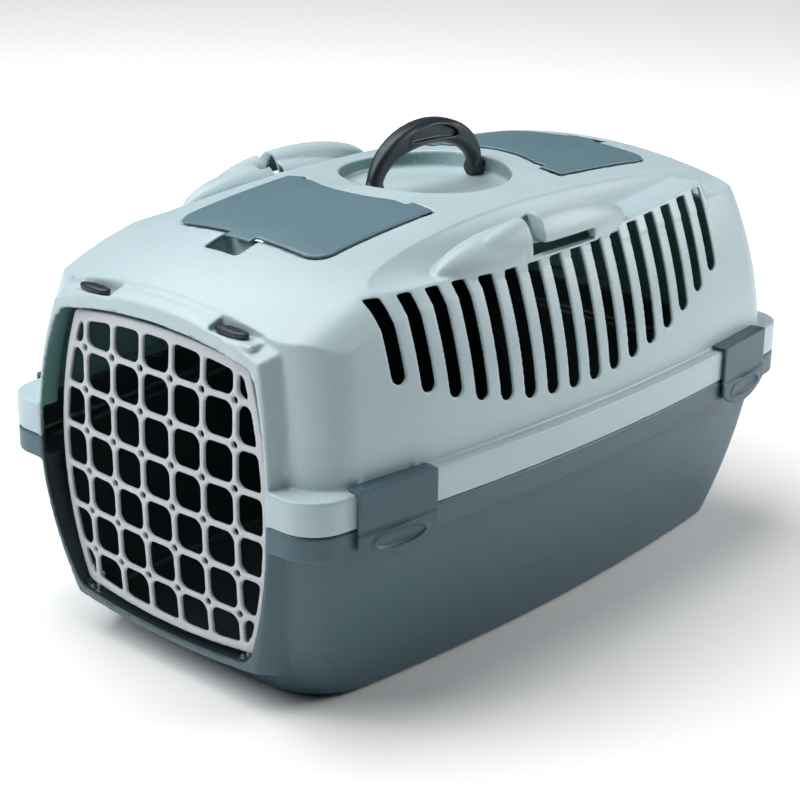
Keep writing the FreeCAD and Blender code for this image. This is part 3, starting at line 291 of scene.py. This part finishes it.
def plastic(name, colour, roughness, grain=0.25, grain_size=0.9, wave=0.15, coat=0.0, edge_wear_and_highlight=0.12, shade_colour=None):
    """A moulded plastic: fine grain, slow waves of the mould, scuffs, and paler edges, partly rubbed and partly a
    painted highlight.

    Where the mesh is marked as inner, the plastic takes a darker colour there, a painted shade.
    """
    material = bpy.data.materials.new(name)
    material.use_nodes = True
    tree = material.node_tree
    nodes = tree.nodes
    shader = nodes["Principled BSDF"]
    shader.inputs["Specular IOR Level"].default_value = 0.45
    shader.inputs["Coat Weight"].default_value = coat
    shader.inputs["Coat Roughness"].default_value = 0.25
    place = nodes.new("ShaderNodeTexCoord")
    stretch = nodes.new("ShaderNodeMapping")
    stretch.inputs["Scale"].default_value = SCUFF_STRETCH
    link(tree, place, "Object", stretch, "Vector")

    def noise(scale, detail, rough=0.5, source=place, output="Object"):
        texture = nodes.new("ShaderNodeTexNoise")
        texture.inputs["Scale"].default_value = scale
        texture.inputs["Detail"].default_value = detail
        texture.inputs["Roughness"].default_value = rough
        link(tree, source, output, texture, "Vector")
        return texture

    def ramp(source, output, stops):
        """A ramp from black to white between two stops."""
        node = nodes.new("ShaderNodeValToRGB")
        for element, position in zip(node.color_ramp.elements, stops):
            element.position = position
        link(tree, source, output, node, "Fac")
        return node

    def mix(blend="MIX"):
        """A mix of two colours: entry 0 is the share, 6 and 7 are the colours, and output 2 is the result."""
        node = nodes.new("ShaderNodeMix")
        node.data_type = "RGBA"
        node.blend_type = blend
        return node

    def bump(source, strength, distance):
        node = nodes.new("ShaderNodeBump")
        node.inputs["Strength"].default_value = strength
        node.inputs["Distance"].default_value = distance
        link(tree, source, "Fac", node, "Height")
        return node

    clouds = noise(CLOUD_SCALE, 3)
    specks = noise(SPECK_SCALE, 2, 0.7)
    scuffs = noise(SCUFF_SCALE, 6, source=stretch, output="Vector")
    marks = ramp(scuffs, "Fac", SCUFF_SHARE)

    tint = mix()
    tint.inputs[6].default_value = tinted(colour, TINT_RANGE[0])
    tint.inputs[7].default_value = tinted(colour, TINT_RANGE[1])
    link(tree, clouds, "Fac", tint, 0)
    speckle = mix("OVERLAY")
    speckle.inputs[0].default_value = SPECK_STRENGTH
    link(tree, tint, 2, speckle, 6)
    link(tree, specks, "Fac", speckle, 7)

    # Paler sharp edges by pointiness: partly real rubbing, partly a painted highlight along the moulding edges.
    edge = ramp(nodes.new("ShaderNodeNewGeometry"), "Pointiness", WEAR_AND_HIGHLIGHT_EDGE)
    strength = nodes.new("ShaderNodeMath")
    strength.operation = "MULTIPLY"
    strength.inputs[1].default_value = edge_wear_and_highlight
    link(tree, edge, "Color", strength, 0)
    worn_and_lit_edge = mix()
    worn_and_lit_edge.inputs[7].default_value = tinted(colour, WEAR_AND_HIGHLIGHT_COLOUR[1], WEAR_AND_HIGHLIGHT_COLOUR[0])
    link(tree, strength, "Value", worn_and_lit_edge, 0)
    link(tree, speckle, 2, worn_and_lit_edge, 6)

    # Painted shade: faces marked inner are mixed towards the darker shade colour.
    inner = nodes.new("ShaderNodeAttribute")
    inner.attribute_name = "inner"
    painted_shade_mix = mix()
    painted_shade_mix.inputs[7].default_value = (*(shade_colour or colour), 1)
    link(tree, inner, "Fac", painted_shade_mix, 0)
    link(tree, worn_and_lit_edge, 2, painted_shade_mix, 6)
    link(tree, painted_shade_mix, 2, shader, "Base Color")

    shine = nodes.new("ShaderNodeMapRange")
    shine.inputs["To Min"].default_value = roughness + SHINE_RANGE[0]
    shine.inputs["To Max"].default_value = roughness + SHINE_RANGE[1]
    link(tree, clouds, "Fac", shine, "Value")
    scuffed = nodes.new("ShaderNodeMath")
    scuffed.operation = "MULTIPLY_ADD"
    scuffed.inputs[1].default_value = SCUFF_ROUGHNESS
    link(tree, marks, "Color", scuffed, 0)
    link(tree, shine, "Result", scuffed, 2)
    link(tree, scuffed, "Value", shader, "Roughness")

    waves = bump(noise(WAVE_SCALE, 2), wave, WAVE_DEPTH)
    grained = bump(noise(GRAIN_SCALE / grain_size, 3, 0.6), grain, GRAIN_DEPTH)
    link(tree, waves, "Normal", grained, "Normal")
    link(tree, grained, "Normal", shader, "Normal")
    return material


# The darker colour given to the shells for faces that look into the cabin is painted shade.
PLASTICS = {
    "upper_plastic": {
        "colour": (0.435, 0.555, 0.590),
        "roughness": 0.36,
        "grain": 0.35,
        "coat": 0.08,
        "shade_colour": (0.11, 0.23, 0.225),
    },
    "lower_plastic": {
        "colour": (0.056, 0.116, 0.143),
        "roughness": 0.42,
        "grain": 0.6,
        "grain_size": 1.1,
        "coat": 0.12,
        "shade_colour": (0.012, 0.024, 0.028),
    },
    "door_plastic": {"colour": (0.50, 0.525, 0.575), "roughness": 0.34, "grain": 0.2, "coat": 0.1},
    "pin_plastic": {"colour": (0.33, 0.36, 0.39), "roughness": 0.30, "grain": 0.2, "coat": 0.1},
    "lid_plastic": {"colour": (0.108, 0.192, 0.232), "roughness": 0.38, "grain": 0.35, "coat": 0.05},
    "clip_plastic": {"colour": (0.048, 0.098, 0.128), "roughness": 0.40, "grain": 0.4},
    "trim_plastic": {"colour": (0.012, 0.024, 0.030), "roughness": 0.38, "grain": 0.5, "edge_wear_and_highlight": 0.0},
    "foot_rubber": {"colour": (0.42, 0.45, 0.45), "roughness": 0.75, "grain": 0.8, "edge_wear_and_highlight": 0.0},
}
MATERIALS = {name: plastic(name, **look) for name, look in PLASTICS.items()}

# ---------------------------------------------------------------- pieces

NODE_BODY = {}
for body_name, members in frame["record"]["behaviour"]["bodies"].items():
    for member in members:
        NODE_BODY[member] = body_name
NODE_SLOT = {entry["node"]: entry["material_slot"] for entry in frame["record"]["subparts"]}


def finish_piece(thing, node):
    """Gives a piece its material, its record slot and its body, and lets it stand for its CAD node."""
    slot = NODE_SLOT[node]
    thing.data.materials.append(MATERIALS[slot])
    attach(thing, NODE_BODY[node])
    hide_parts(node)


def moulded(node, voxel, soften, details=None, faces=60000, heart=None):
    """A moulded piece made from its CAD node."""
    field = Moulding(node, voxel)
    field.soften(soften)
    if details:
        details(field)
    finish_piece(field.mesh(f"{node}_moulding", faces, heart), node)


JOINTS = {joint["name"]: joint for joint in frame["joints"]}


def box_of(node):
    """A CAD node's lowest and highest corners in millimetres."""
    low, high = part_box(node)
    return np.array(low) / MM, np.array(high) / MM


# The doorway's rim and the door: four arcs through their corners and the middles of their sides.
RIM = {"top": (110.8, 278.6), "middle": (131.0, 162.0), "low": (99.4, 36.5), "crown": 296.5, "sag": 29.5}
DOOR = {"top": (97.0, 275.0), "middle": (117.0, 162.0), "low": (97.0, 45.0), "crown": 283.0, "sag": 38.5}
GRILLE = {"top": (91.5, 266.5), "middle": (111.0, 162.0), "low": (91.5, 51.5), "crown": 275.0, "sag": 45.0}
LINTEL = {"top": (106.0, 275.0), "middle": (128.0, 162.0), "low": (96.4, 39.5), "crown": 286.5, "sag": 32.5}
RIM_CORNER = 12
LINTEL_CORNER = 4
LINTEL_DEPTH = 6.0
LINTEL_SETBACK = 0.4
LINTEL_DROP = 6  # how far the lintel comes down at its two ends
RIM_FRONT = 306.0
RIM_CURVE = 833.0
PARTING = 165.0
BEAD = 1.5
BEAD_SINK = 0.2


def circle_of(a, b, c):
    """The centre and radius of the circle through three points of a plane."""
    (ax, az), (bx, bz), (cx, cz) = a, b, c
    det = 2 * (ax * (bz - cz) + bx * (cz - az) + cx * (az - bz))
    first, second, third = ax**2 + az**2, bx**2 + bz**2, cx**2 + cz**2
    x = (first * (bz - cz) + second * (cz - az) + third * (az - bz)) / det
    z = (first * (cx - bx) + second * (ax - cx) + third * (bx - ax)) / det
    return x, z, math.hypot(ax - x, az - z)


def barrel(outline, x, z, soft):
    """The distance to a barrel outline in the plane of the doorway, with softened corners."""
    top, low = outline["top"], outline["low"]
    side_x, side_z, side_r = circle_of(top, outline["middle"], low)
    _, top_z, top_r = circle_of(top, (0, outline["crown"]), (-top[0], top[1]))
    _, low_z, low_r = circle_of(low, (0, outline["sag"]), (-low[0], low[1]))
    side = np.sqrt((np.abs(x) - side_x) ** 2 + (z - side_z) ** 2) - side_r
    roof = np.sqrt(x**2 + (z - top_z) ** 2) - top_r
    base = np.sqrt(x**2 + (z - low_z) ** 2) - low_r
    return -union(-side, -np.maximum(roof, base), soft)


def rim_bead(value, x, y, z):
    """A round bead along the front edge of the doorway's rim, and the lintel's lip over the door."""
    face = RIM_CURVE - RIM_FRONT - np.sqrt(RIM_CURVE**2 - (z - PARTING) ** 2)
    edge = barrel(RIM, x, z, RIM_CORNER)
    bead = np.sqrt((edge + BEAD) ** 2 + (y - face - BEAD) ** 2) - BEAD - BEAD_SINK
    lip = np.maximum(-barrel(LINTEL, x, z, LINTEL_CORNER), edge + 1)
    lip = np.maximum(lip, np.maximum(face + LINTEL_SETBACK - y, y - face - LINTEL_DEPTH))
    lip = np.maximum(lip, LINTEL["top"][1] - LINTEL_DROP - z)
    return union(union(value, bead, 1.0), lip, 0.8)


HALF_WIDTH = 197.0
SIDE_STEP = 10.55
SIDE_SLOPE = 0.0456
SIDE_CURVE = 1.533e-3
SIDE_BOW = 1995.0
WALL = 3.0
SILL = 317.0
SILL_RISE = 13.0
SILL_START = -74
SILL_RUN = 265
SILL_PAST = 1.3  # the share of the run at which the rise stops
SILL_POWER = 1.6
SILL_LOW = 310
SCOOP_FLOOR = (106, 112)  # how far out the scoop's floor starts, outside and inside
SLOT_COUNT = 16
SLOT_FIRST = -206.95
SLOT_PITCH = 26.53
SLOT_HALF = 6.7
SLOT_LOW = 211.5
SLOT_RISE = 0.83
SLOT_LOWEST = 7.4
SLOT_INNER = 104


def side_of(y, z):
    """How far the side wall's outer face stands from the middle plane."""
    up = z - PARTING
    return HALF_WIDTH - SIDE_STEP + SIDE_SLOPE * up - SIDE_CURVE * up**2 - y**2 / (2 * SIDE_BOW)


def sill_of(y):
    """The height of the scoop's sill, which rises towards the rear."""
    return SILL + SILL_RISE * np.clip((y - SILL_START) / SILL_RUN, 0, SILL_PAST) ** SILL_POWER


def rising_sill(value, x, y, z):
    """Lifts the sill with the wall under it towards the rear of the scoop."""
    away, sill, side = np.abs(x), sill_of(y), side_of(y, z)
    body = np.maximum(np.maximum(away - side, z - sill), np.maximum(SILL_LOW - z, SCOOP_FLOOR[0] - away))
    inside = np.maximum(np.maximum(away - side, z - sill) + WALL, SCOOP_FLOOR[1] - away)
    return np.maximum(union(value, body, 1.5), -inside)


def vent_slots(value, x, y, z):
    """Cuts the ventilation slots afresh: round at the bottom, square under the sill."""
    index = np.clip(np.round((y - SLOT_FIRST) / SLOT_PITCH), 0, SLOT_COUNT - 1)
    middle = SLOT_FIRST + SLOT_PITCH * index
    low = SLOT_LOW + SLOT_RISE * (index - SLOT_LOWEST) ** 2 + SLOT_HALF
    slot = np.sqrt((y - middle) ** 2 + np.minimum(z - low, 0) ** 2) - SLOT_HALF
    slot = np.maximum(slot, z - sill_of(middle) + WALL)
    return minus(value, np.maximum(slot, SLOT_INNER - np.abs(x)), 0.8)


HOOK_MIDDLE = (145.0, -11.0, 321.0)
HOOK_RADII = (17.0, 98.0, 29.0)
HOOK_ROOT = 1  # how far the hook reaches down into the sill
HOOK_HOLLOW = 6  # how far its hollow reaches down through the sill
BELT_SLOT = (-49.5, -36.5)
BELT_SLOT_INNER = 124
BELT_RUN = 28.0
BELT_CHANNEL = (318.0, 327.0)
BELT_CHANNEL_INNER = 132


def belt_hook(value, x, y, z):
    """The lens-shaped hook on the sill, with the slot across it and the channel that the belt slides into."""
    away = np.abs(x)
    lens = ellipsoid(away, y, z, HOOK_MIDDLE, HOOK_RADII)
    value = union(value, np.maximum(lens, SILL - HOOK_ROOT - z), 0.6)
    hollow = np.maximum(np.maximum(lens, away - side_of(y, z)) + WALL, SILL - HOOK_HOLLOW - z)
    value = np.maximum(value, -hollow)
    slot = np.maximum(np.maximum(BELT_SLOT[0] - y, y - BELT_SLOT[1]), BELT_SLOT_INNER - away)
    slot = np.maximum(slot, BELT_CHANNEL[0] - z)
    channel = np.maximum(np.maximum(BELT_SLOT[0] - y, y - BELT_RUN), BELT_CHANNEL_INNER - away)
    channel = np.maximum(channel, np.maximum(BELT_CHANNEL[0] - z, z - BELT_CHANNEL[1]))
    return minus(value, union(slot, channel, 1.5), 0.6)


NOTCH_ROOM = (19.0, 13.5)  # half sizes of the room in a tray
NOTCH_SHIFT = 4.0  # how far the tray's middle lies beyond the lid's edge
NOTCH_FLOOR = 313.0
TRAY_WALL = 2
TRAY_FLOOR = 2.5
ROOF_UNDER = 346.5
ROOF_MIDDLE = 10
ROOF_BOW = 2900


def notch_tray(end, side):
    """A shallow tray under a lid's finger notch, which closes it towards the cabin."""
    low, high = box_of(f"roof_lid_{end}")
    middle = (low[1] if side < 0 else high[1]) + side * NOTCH_SHIFT

    def change(value, x, y, z):
        plan = np.maximum(np.abs(x) - NOTCH_ROOM[0], np.abs(y - middle) - NOTCH_ROOM[1])
        under = roof_under(y) - z
        tray = np.maximum(np.maximum(plan - TRAY_WALL, NOTCH_FLOOR - TRAY_FLOOR - z), -under)
        room = np.maximum(plan, NOTCH_FLOOR - z)
        return union(value, np.maximum(tray, -room))

    return change


def roof_under(y):
    """A height just under the roof's plate at the middle of its width."""
    return ROOF_UNDER - (y - ROOF_MIDDLE) ** 2 / ROOF_BOW


EAR_TOP = 193.6
EAR_BACK = 2.6
EAR_FRONT = 4
EAR_HALF = 32
EAR_REACH = 40  # half size of the box round a clip's pin that is edited
CLIP_NAMES = [f"clip_{end}_{hand}" for end in ("front", "rear") for hand in ("left", "right")]


def clear_ears(joint):
    """The box and the change that take the tops off the ears that hold a clip, under its own cover."""
    origin = np.array(joint["pos_m"]) / MM
    tangent = np.array(joint["axis"])

    def change(value, x, y, z):
        out = (y - origin[1]) * tangent[0] - (x - origin[0]) * tangent[1]
        along = (x - origin[0]) * tangent[0] + (y - origin[1]) * tangent[1]
        top = np.maximum(-EAR_BACK - out, out - EAR_FRONT)
        top = np.maximum(top, np.maximum(np.abs(along) - EAR_HALF, EAR_TOP - z))
        return np.maximum(value, -top)

    return origin - EAR_REACH, origin + EAR_REACH, change


def upper_details(field):
    """The rim, the rising sill, the slots, the belt hooks, the clips' ears and the notches' trays."""
    field.edit((-140, -312, 163), (140, -290, 300), rim_bead)
    for side in (-1, 1):
        low, high = sorted((side * 98, side * 190))
        field.edit((low, -100, 300), (high, 203, 340), rising_sill)
        field.edit((low, -225, 200), (high, 210, 335), vent_slots)
        field.edit((low, -140, 306), (high, 100, 356), belt_hook)
    for name in CLIP_NAMES:
        field.edit(*clear_ears(JOINTS[f"{name}_hinge"]))
    for end, side in (("front", -1), ("rear", 1)):
        reach = sorted((side * 195, side * 245))
        field.edit((-26, reach[0], 306), (26, reach[1], 352), notch_tray(end, side))


def lower_details(field):
    """The rim's bead."""
    field.edit((-140, -312, 26), (140, -290, 167), rim_bead)


GRID_X = 33.67
GRID_Z = 34.25
GRID_TOP = 246.4
GRID_MIDDLE = 160.8
BAR = 4.7
CELL_CORNER = 8.0
NODE_HOLE = 2.9
DOOR_BULGE = 1500.0
DOOR_FRONT = 297.6
DOOR_MIDDLE = 174.6
DOOR_THICK = 3.4
BAR_ROUND = 1.2
PIVOT = (88.0, -286.0)
KNUCKLE = 4.6
KNUCKLE_ROOM = 0.6
BORDER_CORNER = 5
DOOR_CORNER = 4


def door_details(field):
    """The door's bars afresh: round-cornered cells in a rounded border, and a hole at each crossing."""

    def change(value, x, y, z):
        shell = np.sqrt(x**2 + (y + DOOR_FRONT - DOOR_BULGE) ** 2 + (z - DOOR_MIDDLE) ** 2)
        plate = np.abs(shell - DOOR_BULGE + DOOR_THICK / 2) - DOOR_THICK / 2
        column = np.abs((x + GRID_X / 2) % GRID_X - GRID_X / 2) - (GRID_X - BAR) / 2 + CELL_CORNER
        row = np.abs((z - GRID_TOP) % GRID_Z - GRID_Z / 2) - (GRID_Z - BAR) / 2 + CELL_CORNER
        cell = np.sqrt(np.maximum(column, 0) ** 2 + np.maximum(row, 0) ** 2) - CELL_CORNER
        cell = cell + np.minimum(np.maximum(column, row), 0)
        border = barrel(GRILLE, x, z, BORDER_CORNER)
        cell = -union(-cell, -border, BORDER_CORNER)
        to_column = np.abs(x % GRID_X - GRID_X / 2)
        to_row = np.abs((z - GRID_TOP + GRID_Z / 2) % GRID_Z - GRID_Z / 2)
        hole = np.sqrt(to_column**2 + to_row**2) - NODE_HOLE
        hole = np.maximum(hole, np.maximum(border + 1, np.abs(z - GRID_MIDDLE) - 3 * GRID_Z))
        flat = np.maximum(barrel(DOOR, x, z, DOOR_CORNER), -cell) + BAR_ROUND
        plate = plate + BAR_ROUND
        body = np.sqrt(np.maximum(flat, 0) ** 2 + np.maximum(plate, 0) ** 2) - BAR_ROUND
        body = minus(body + np.minimum(np.maximum(flat, plate), 0), hole, 0.6)
        around = np.sqrt((np.abs(x) - PIVOT[0]) ** 2 + (y - PIVOT[1]) ** 2)
        return union(body, np.maximum(value, around - KNUCKLE - KNUCKLE_ROOM), 0.8)

    field.edit((-122, -303, 34), (122, -278, 288), change)


PIN_RADIUS = 4.0
PIN_ROOT = 12  # how far inside the arch's ends a pin starts
ARCH_SPREAD = 1.386  # half length of the arch over its rise
ARCH_LEG = 14  # the arch's width at a leg, and its depth at the top
ARCH_TOP = 21.5
ARCH_HALF = 5.6  # half thickness at the legs, and what the grip adds
ARCH_SWELL = 2.6
ARCH_CORNER = 5.4
ARCH_END = 6.5  # how far the legs reach below the pivot
LEG_BOSS = (6.6, 7, 6.5)  # a leg's boss: its radius, its place inside the arch's end, half its length
RING_SINK = 0.4
RING_RADIUS = 1.3
GRIP_SPOT = 3.0
GRIP_LONG = 30.0
GRIP_HIGH = 6.6
GRIP_DEEP = 2.6


def handle_details(field):
    """A rounded arch that swells at the grip, with an oval dish in each face of the grip."""
    low, high = box_of("carry_handle")
    middle = (low[1] + high[1]) / 2
    pivot = JOINTS["handle_hinge"]["pos_m"][2] / MM
    rise = high[2] - pivot
    reach = rise * ARCH_SPREAD
    pin_end = (high[1] - low[1]) / 2

    def change(value, x, y, z):
        across, up = y - middle, np.maximum(z - pivot, 0)
        outer = ellipsoid(0, across, up, (0, 0, 0), (1, reach, rise))
        inner = ellipsoid(0, across, up, (0, 0, 0), (1, reach - ARCH_LEG, rise - ARCH_TOP))
        band = np.maximum(outer, -inner)
        centre_line = (outer + inner) / 2
        swell = np.clip((z - pivot) / rise, 0, 1)
        half = ARCH_HALF + ARCH_SWELL * swell * swell * (3 - 2 * swell)
        side = np.abs(x) - half + ARCH_CORNER
        edge = band + ARCH_CORNER
        bar = np.sqrt(np.maximum(side, 0) ** 2 + np.maximum(edge, 0) ** 2)
        bar = bar + np.minimum(np.maximum(side, edge), 0) - ARCH_CORNER
        bar = np.maximum(bar, pivot - ARCH_END - z)
        oval = ellipsoid(0, across - GRIP_SPOT, centre_line, (0, 0, 0), (1, GRIP_LONG, GRIP_HIGH))
        ring = np.sqrt(oval**2 + (np.abs(x) - half + RING_SINK) ** 2) - RING_RADIUS
        bar = union(bar, ring, 1.5)
        dish = np.maximum(oval + 1.0, half - GRIP_DEEP - np.abs(x))
        bar = minus(bar, dish, 1.2)
        pins = np.sqrt(x**2 + (z - pivot) ** 2) - PIN_RADIUS
        pins = np.maximum(pins, np.maximum(np.abs(across) - pin_end, reach - PIN_ROOT - np.abs(across)))
        legs = np.sqrt(x**2 + (z - pivot) ** 2) - LEG_BOSS[0]
        legs = np.maximum(legs, np.abs(np.abs(across) - reach + LEG_BOSS[1]) - LEG_BOSS[2])
        return union(union(bar, legs, 2.0), pins, 0.4)

    field.edit(low - 5, high + 5, change)


CREASE = 162.0
CREASE_RADIUS = 0.9
CREASE_SPOT = (11.5, 0.6)  # the groove's middle: its distance from the pin, and its height over the crease
CLIP_END = 1.5  # how far inside the clip's box its roll and its groove stop
CLIP_FACE = 11.2  # the flat face's distance from the pin
LOBE = 1.8
LOBE_START = 9
LOBE_EASE = 1.5
LOBE_HALF = 60
THUMB_RING = 1.1
THUMB_RING_WIDE = 1.7
THUMB_DEEP = 2.4
ROLL = 3.5
COVER_TOP = 195.2
THUMB_HEIGHT = 152.0
THUMB_LONG = 25.0
THUMB_HIGH = 7.2


def clip_details(field):
    """A fuller lower lobe under a creased line, a ringed oval dish for the thumb, and a rolled top."""
    joint = JOINTS[f"{field.node}_hinge"]
    origin = np.array(joint["pos_m"]) / MM
    tangent = np.array(joint["axis"])
    outward = np.array([-tangent[1], tangent[0], 0])
    low, high = box_of(field.node)
    end = (high[1] - low[1]) / 2 - CLIP_END

    def change(value, x, y, z):
        out = (x - origin[0]) * outward[0] + (y - origin[1]) * outward[1]
        along = (x - origin[0]) * tangent[0] + (y - origin[1]) * tangent[1]
        lobe = np.clip((CREASE - z) / LOBE_EASE, 0, 1) * np.clip((out - LOBE_START) / LOBE_EASE, 0, 1)
        belly = 1 - np.clip(np.abs(along) / LOBE_HALF, 0, 1) ** 2
        value = value - LOBE * lobe * belly
        face = CLIP_FACE + LOBE * 0.9
        oval = ellipsoid(0, along, z, (0, 0, THUMB_HEIGHT), (1, THUMB_LONG, THUMB_HIGH))
        ring = np.sqrt((oval / THUMB_RING_WIDE) ** 2 + (out - face + 0.2) ** 2) - THUMB_RING
        value = union(value, ring, 0.8)
        roll = np.sqrt(out**2 + (z - origin[2]) ** 2) - ROLL
        value = union(value, np.maximum(roll, np.abs(along) - end), 1.0)
        value = -union(-value, COVER_TOP - z, 1.2)
        crease = np.sqrt((z - CREASE - CREASE_SPOT[1]) ** 2 + (out - CREASE_SPOT[0]) ** 2) - CREASE_RADIUS
        value = minus(value, np.maximum(crease, np.abs(along) - end), 0.4)
        dish_radii = (THUMB_DEEP, THUMB_LONG - 1, THUMB_HIGH - 0.8)
        dish = ellipsoid(out, along, z, (face + 0.6, 0, THUMB_HEIGHT), dish_radii)
        return minus(value, dish, 0.6)

    field.edit(low - 3, high + 3, change)


RIDGES = (-6.0, -3.0, 0.0, 3.0, 6.0)
RIDGE_RADIUS = 0.7
RIDGE_SINK = 0.2
RIDGE_INSET = 2.5  # how far a ridge stops inside the slider's edge
POINT_POWER = 1.7  # under 2, so that the slider's ends are pointed
RELEASE_FACE = 4.9  # how far below its top the slider is shaped


def release_details(field):
    """A slider with pointed ends and a few cross ridges."""
    low, high = box_of(field.node)
    middle = (low + high) / 2
    long, wide = (high[0] - low[0]) / 2 + 0.5, (high[1] - low[1]) / 2

    def change(value, x, y, z):
        plan = (np.abs(x - middle[0]) / long) ** POINT_POWER + (np.abs(y - middle[1]) / wide) ** 2
        slope = 2.0 / wide
        value = -union(-value, -(plan - 1) / slope, 2.0)
        for ridge in RIDGES:
            bar = np.sqrt((x - middle[0] - ridge) ** 2 + (z - high[2] + RIDGE_SINK) ** 2) - RIDGE_RADIUS
            value = union(value, np.maximum(bar, np.abs(y - middle[1]) - wide + RIDGE_INSET), 0.5)
        return value

    field.edit((low[0] - 2, low[1] - 2, high[2] - RELEASE_FACE), high + 3, change)


# Faces of the shells that look towards this heart are painted darker, as painted shade.
HEART = (0, 200, 175)  # the cabin's heart: the middle, half the length of its axis, and its height

moulded("upper_shell", 1.25, 0.9, upper_details, faces=190000, heart=HEART)
moulded("lower_shell", 1.25, 0.9, lower_details, faces=190000, heart=HEART)
moulded("front_door", 0.8, 0.7, door_details, faces=150000)
moulded("carry_handle", 0.7, 0.5, handle_details, faces=80000)
for end in ("front", "rear"):
    moulded(f"roof_lid_{end}", 0.8, 0.6, None, faces=80000)
    for hand in ("left", "right"):
        moulded(f"clip_{end}_{hand}", 0.6, 0.6, clip_details, faces=60000)
for hand in ("left", "right"):
    moulded(f"door_release_{hand}", 0.35, 0.5, release_details, faces=20000)
    for level in ("upper", "lower"):
        moulded(f"door_pin_{level}_{hand}", 0.25, 0.3, None, faces=6000)
    for end in ("front", "rear"):
        moulded(f"foot_{end}_{hand}", 0.4, 0.6, None, faces=8000)

# ---------------------------------------------------------------- floor and light

FLOOR_SIZE = 14
FLOOR_WHITE = (0.97, 0.97, 0.97, 1)
GLOW_FROM = (0.45, 2.2)  # how far from the middle the floor starts to glow, and glows most
GLOW_MOST = 0.55

bpy.ops.mesh.primitive_plane_add(size=FLOOR_SIZE)
floor = bpy.context.object
floor.name = "floor"
floor_material = bpy.data.materials.new("floor")
floor_material.use_nodes = True
floor_tree = floor_material.node_tree
floor_shader = floor_tree.nodes["Principled BSDF"]
floor_shader.inputs["Base Color"].default_value = FLOOR_WHITE
floor_shader.inputs["Roughness"].default_value = 0.9
floor_shader.inputs["Emission Color"].default_value = (1, 1, 1, 1)
around = floor_tree.nodes.new("ShaderNodeTexCoord")
reach = floor_tree.nodes.new("ShaderNodeVectorMath")
reach.operation = "LENGTH"
glow = floor_tree.nodes.new("ShaderNodeMapRange")
glow.inputs["From Min"].default_value = GLOW_FROM[0]
glow.inputs["From Max"].default_value = GLOW_FROM[1]
glow.inputs["To Max"].default_value = GLOW_MOST
link(floor_tree, around, "Object", reach, 0)
link(floor_tree, reach, "Value", glow, "Value")
link(floor_tree, glow, "Result", floor_shader, "Emission Strength")
floor.data.materials.append(floor_material)

# The studio is darker towards the front right, a unit vector.
DARK_SIDE = (0.83, -0.55, -0.10)
STUDIO_LEVELS = (1.15, 0.02)  # the studio's light away from the dark side, and at it

world = bpy.data.worlds.new("studio")
bpy.context.scene.world = world
world.use_nodes = True
world_nodes = world.node_tree.nodes
toward = world_nodes.new("ShaderNodeTexCoord")
lean = world_nodes.new("ShaderNodeVectorMath")
lean.operation = "DOT_PRODUCT"
lean.inputs[1].default_value = DARK_SIDE
level = world_nodes.new("ShaderNodeMapRange")
level.inputs["From Min"].default_value = -1
level.inputs["To Min"].default_value = STUDIO_LEVELS[0]
level.inputs["To Max"].default_value = STUDIO_LEVELS[1]
link(world.node_tree, toward, "Generated", lean, 0)
link(world.node_tree, lean, "Value", level, "Value")
link(world.node_tree, level, "Result", world_nodes["Background"], "Strength")


def softbox(name, place, target, size, power):
    """A square area lamp that looks at a target."""
    lamp = bpy.data.lights.new(name, "AREA")
    lamp.energy = power
    lamp.size = size
    thing = bpy.data.objects.new(name, lamp)
    thing.location = place
    thing.rotation_euler = (Vector(target) - Vector(place)).to_track_quat("-Z", "Y").to_euler()
    bpy.context.scene.collection.objects.link(thing)


softbox("key", (-1.0, -1.7, 1.7), (0, 0, 0.2), 1.2, 27)
softbox("top", (-0.75, -0.35, 2.4), (0, 0, 0.3), 2.2, 66)
softbox("back_right", (1.05, 1.3, 0.9), (0.1, 0.15, 0.2), 0.9, 18)
bpy.context.scene.view_settings.view_transform = "Standard"
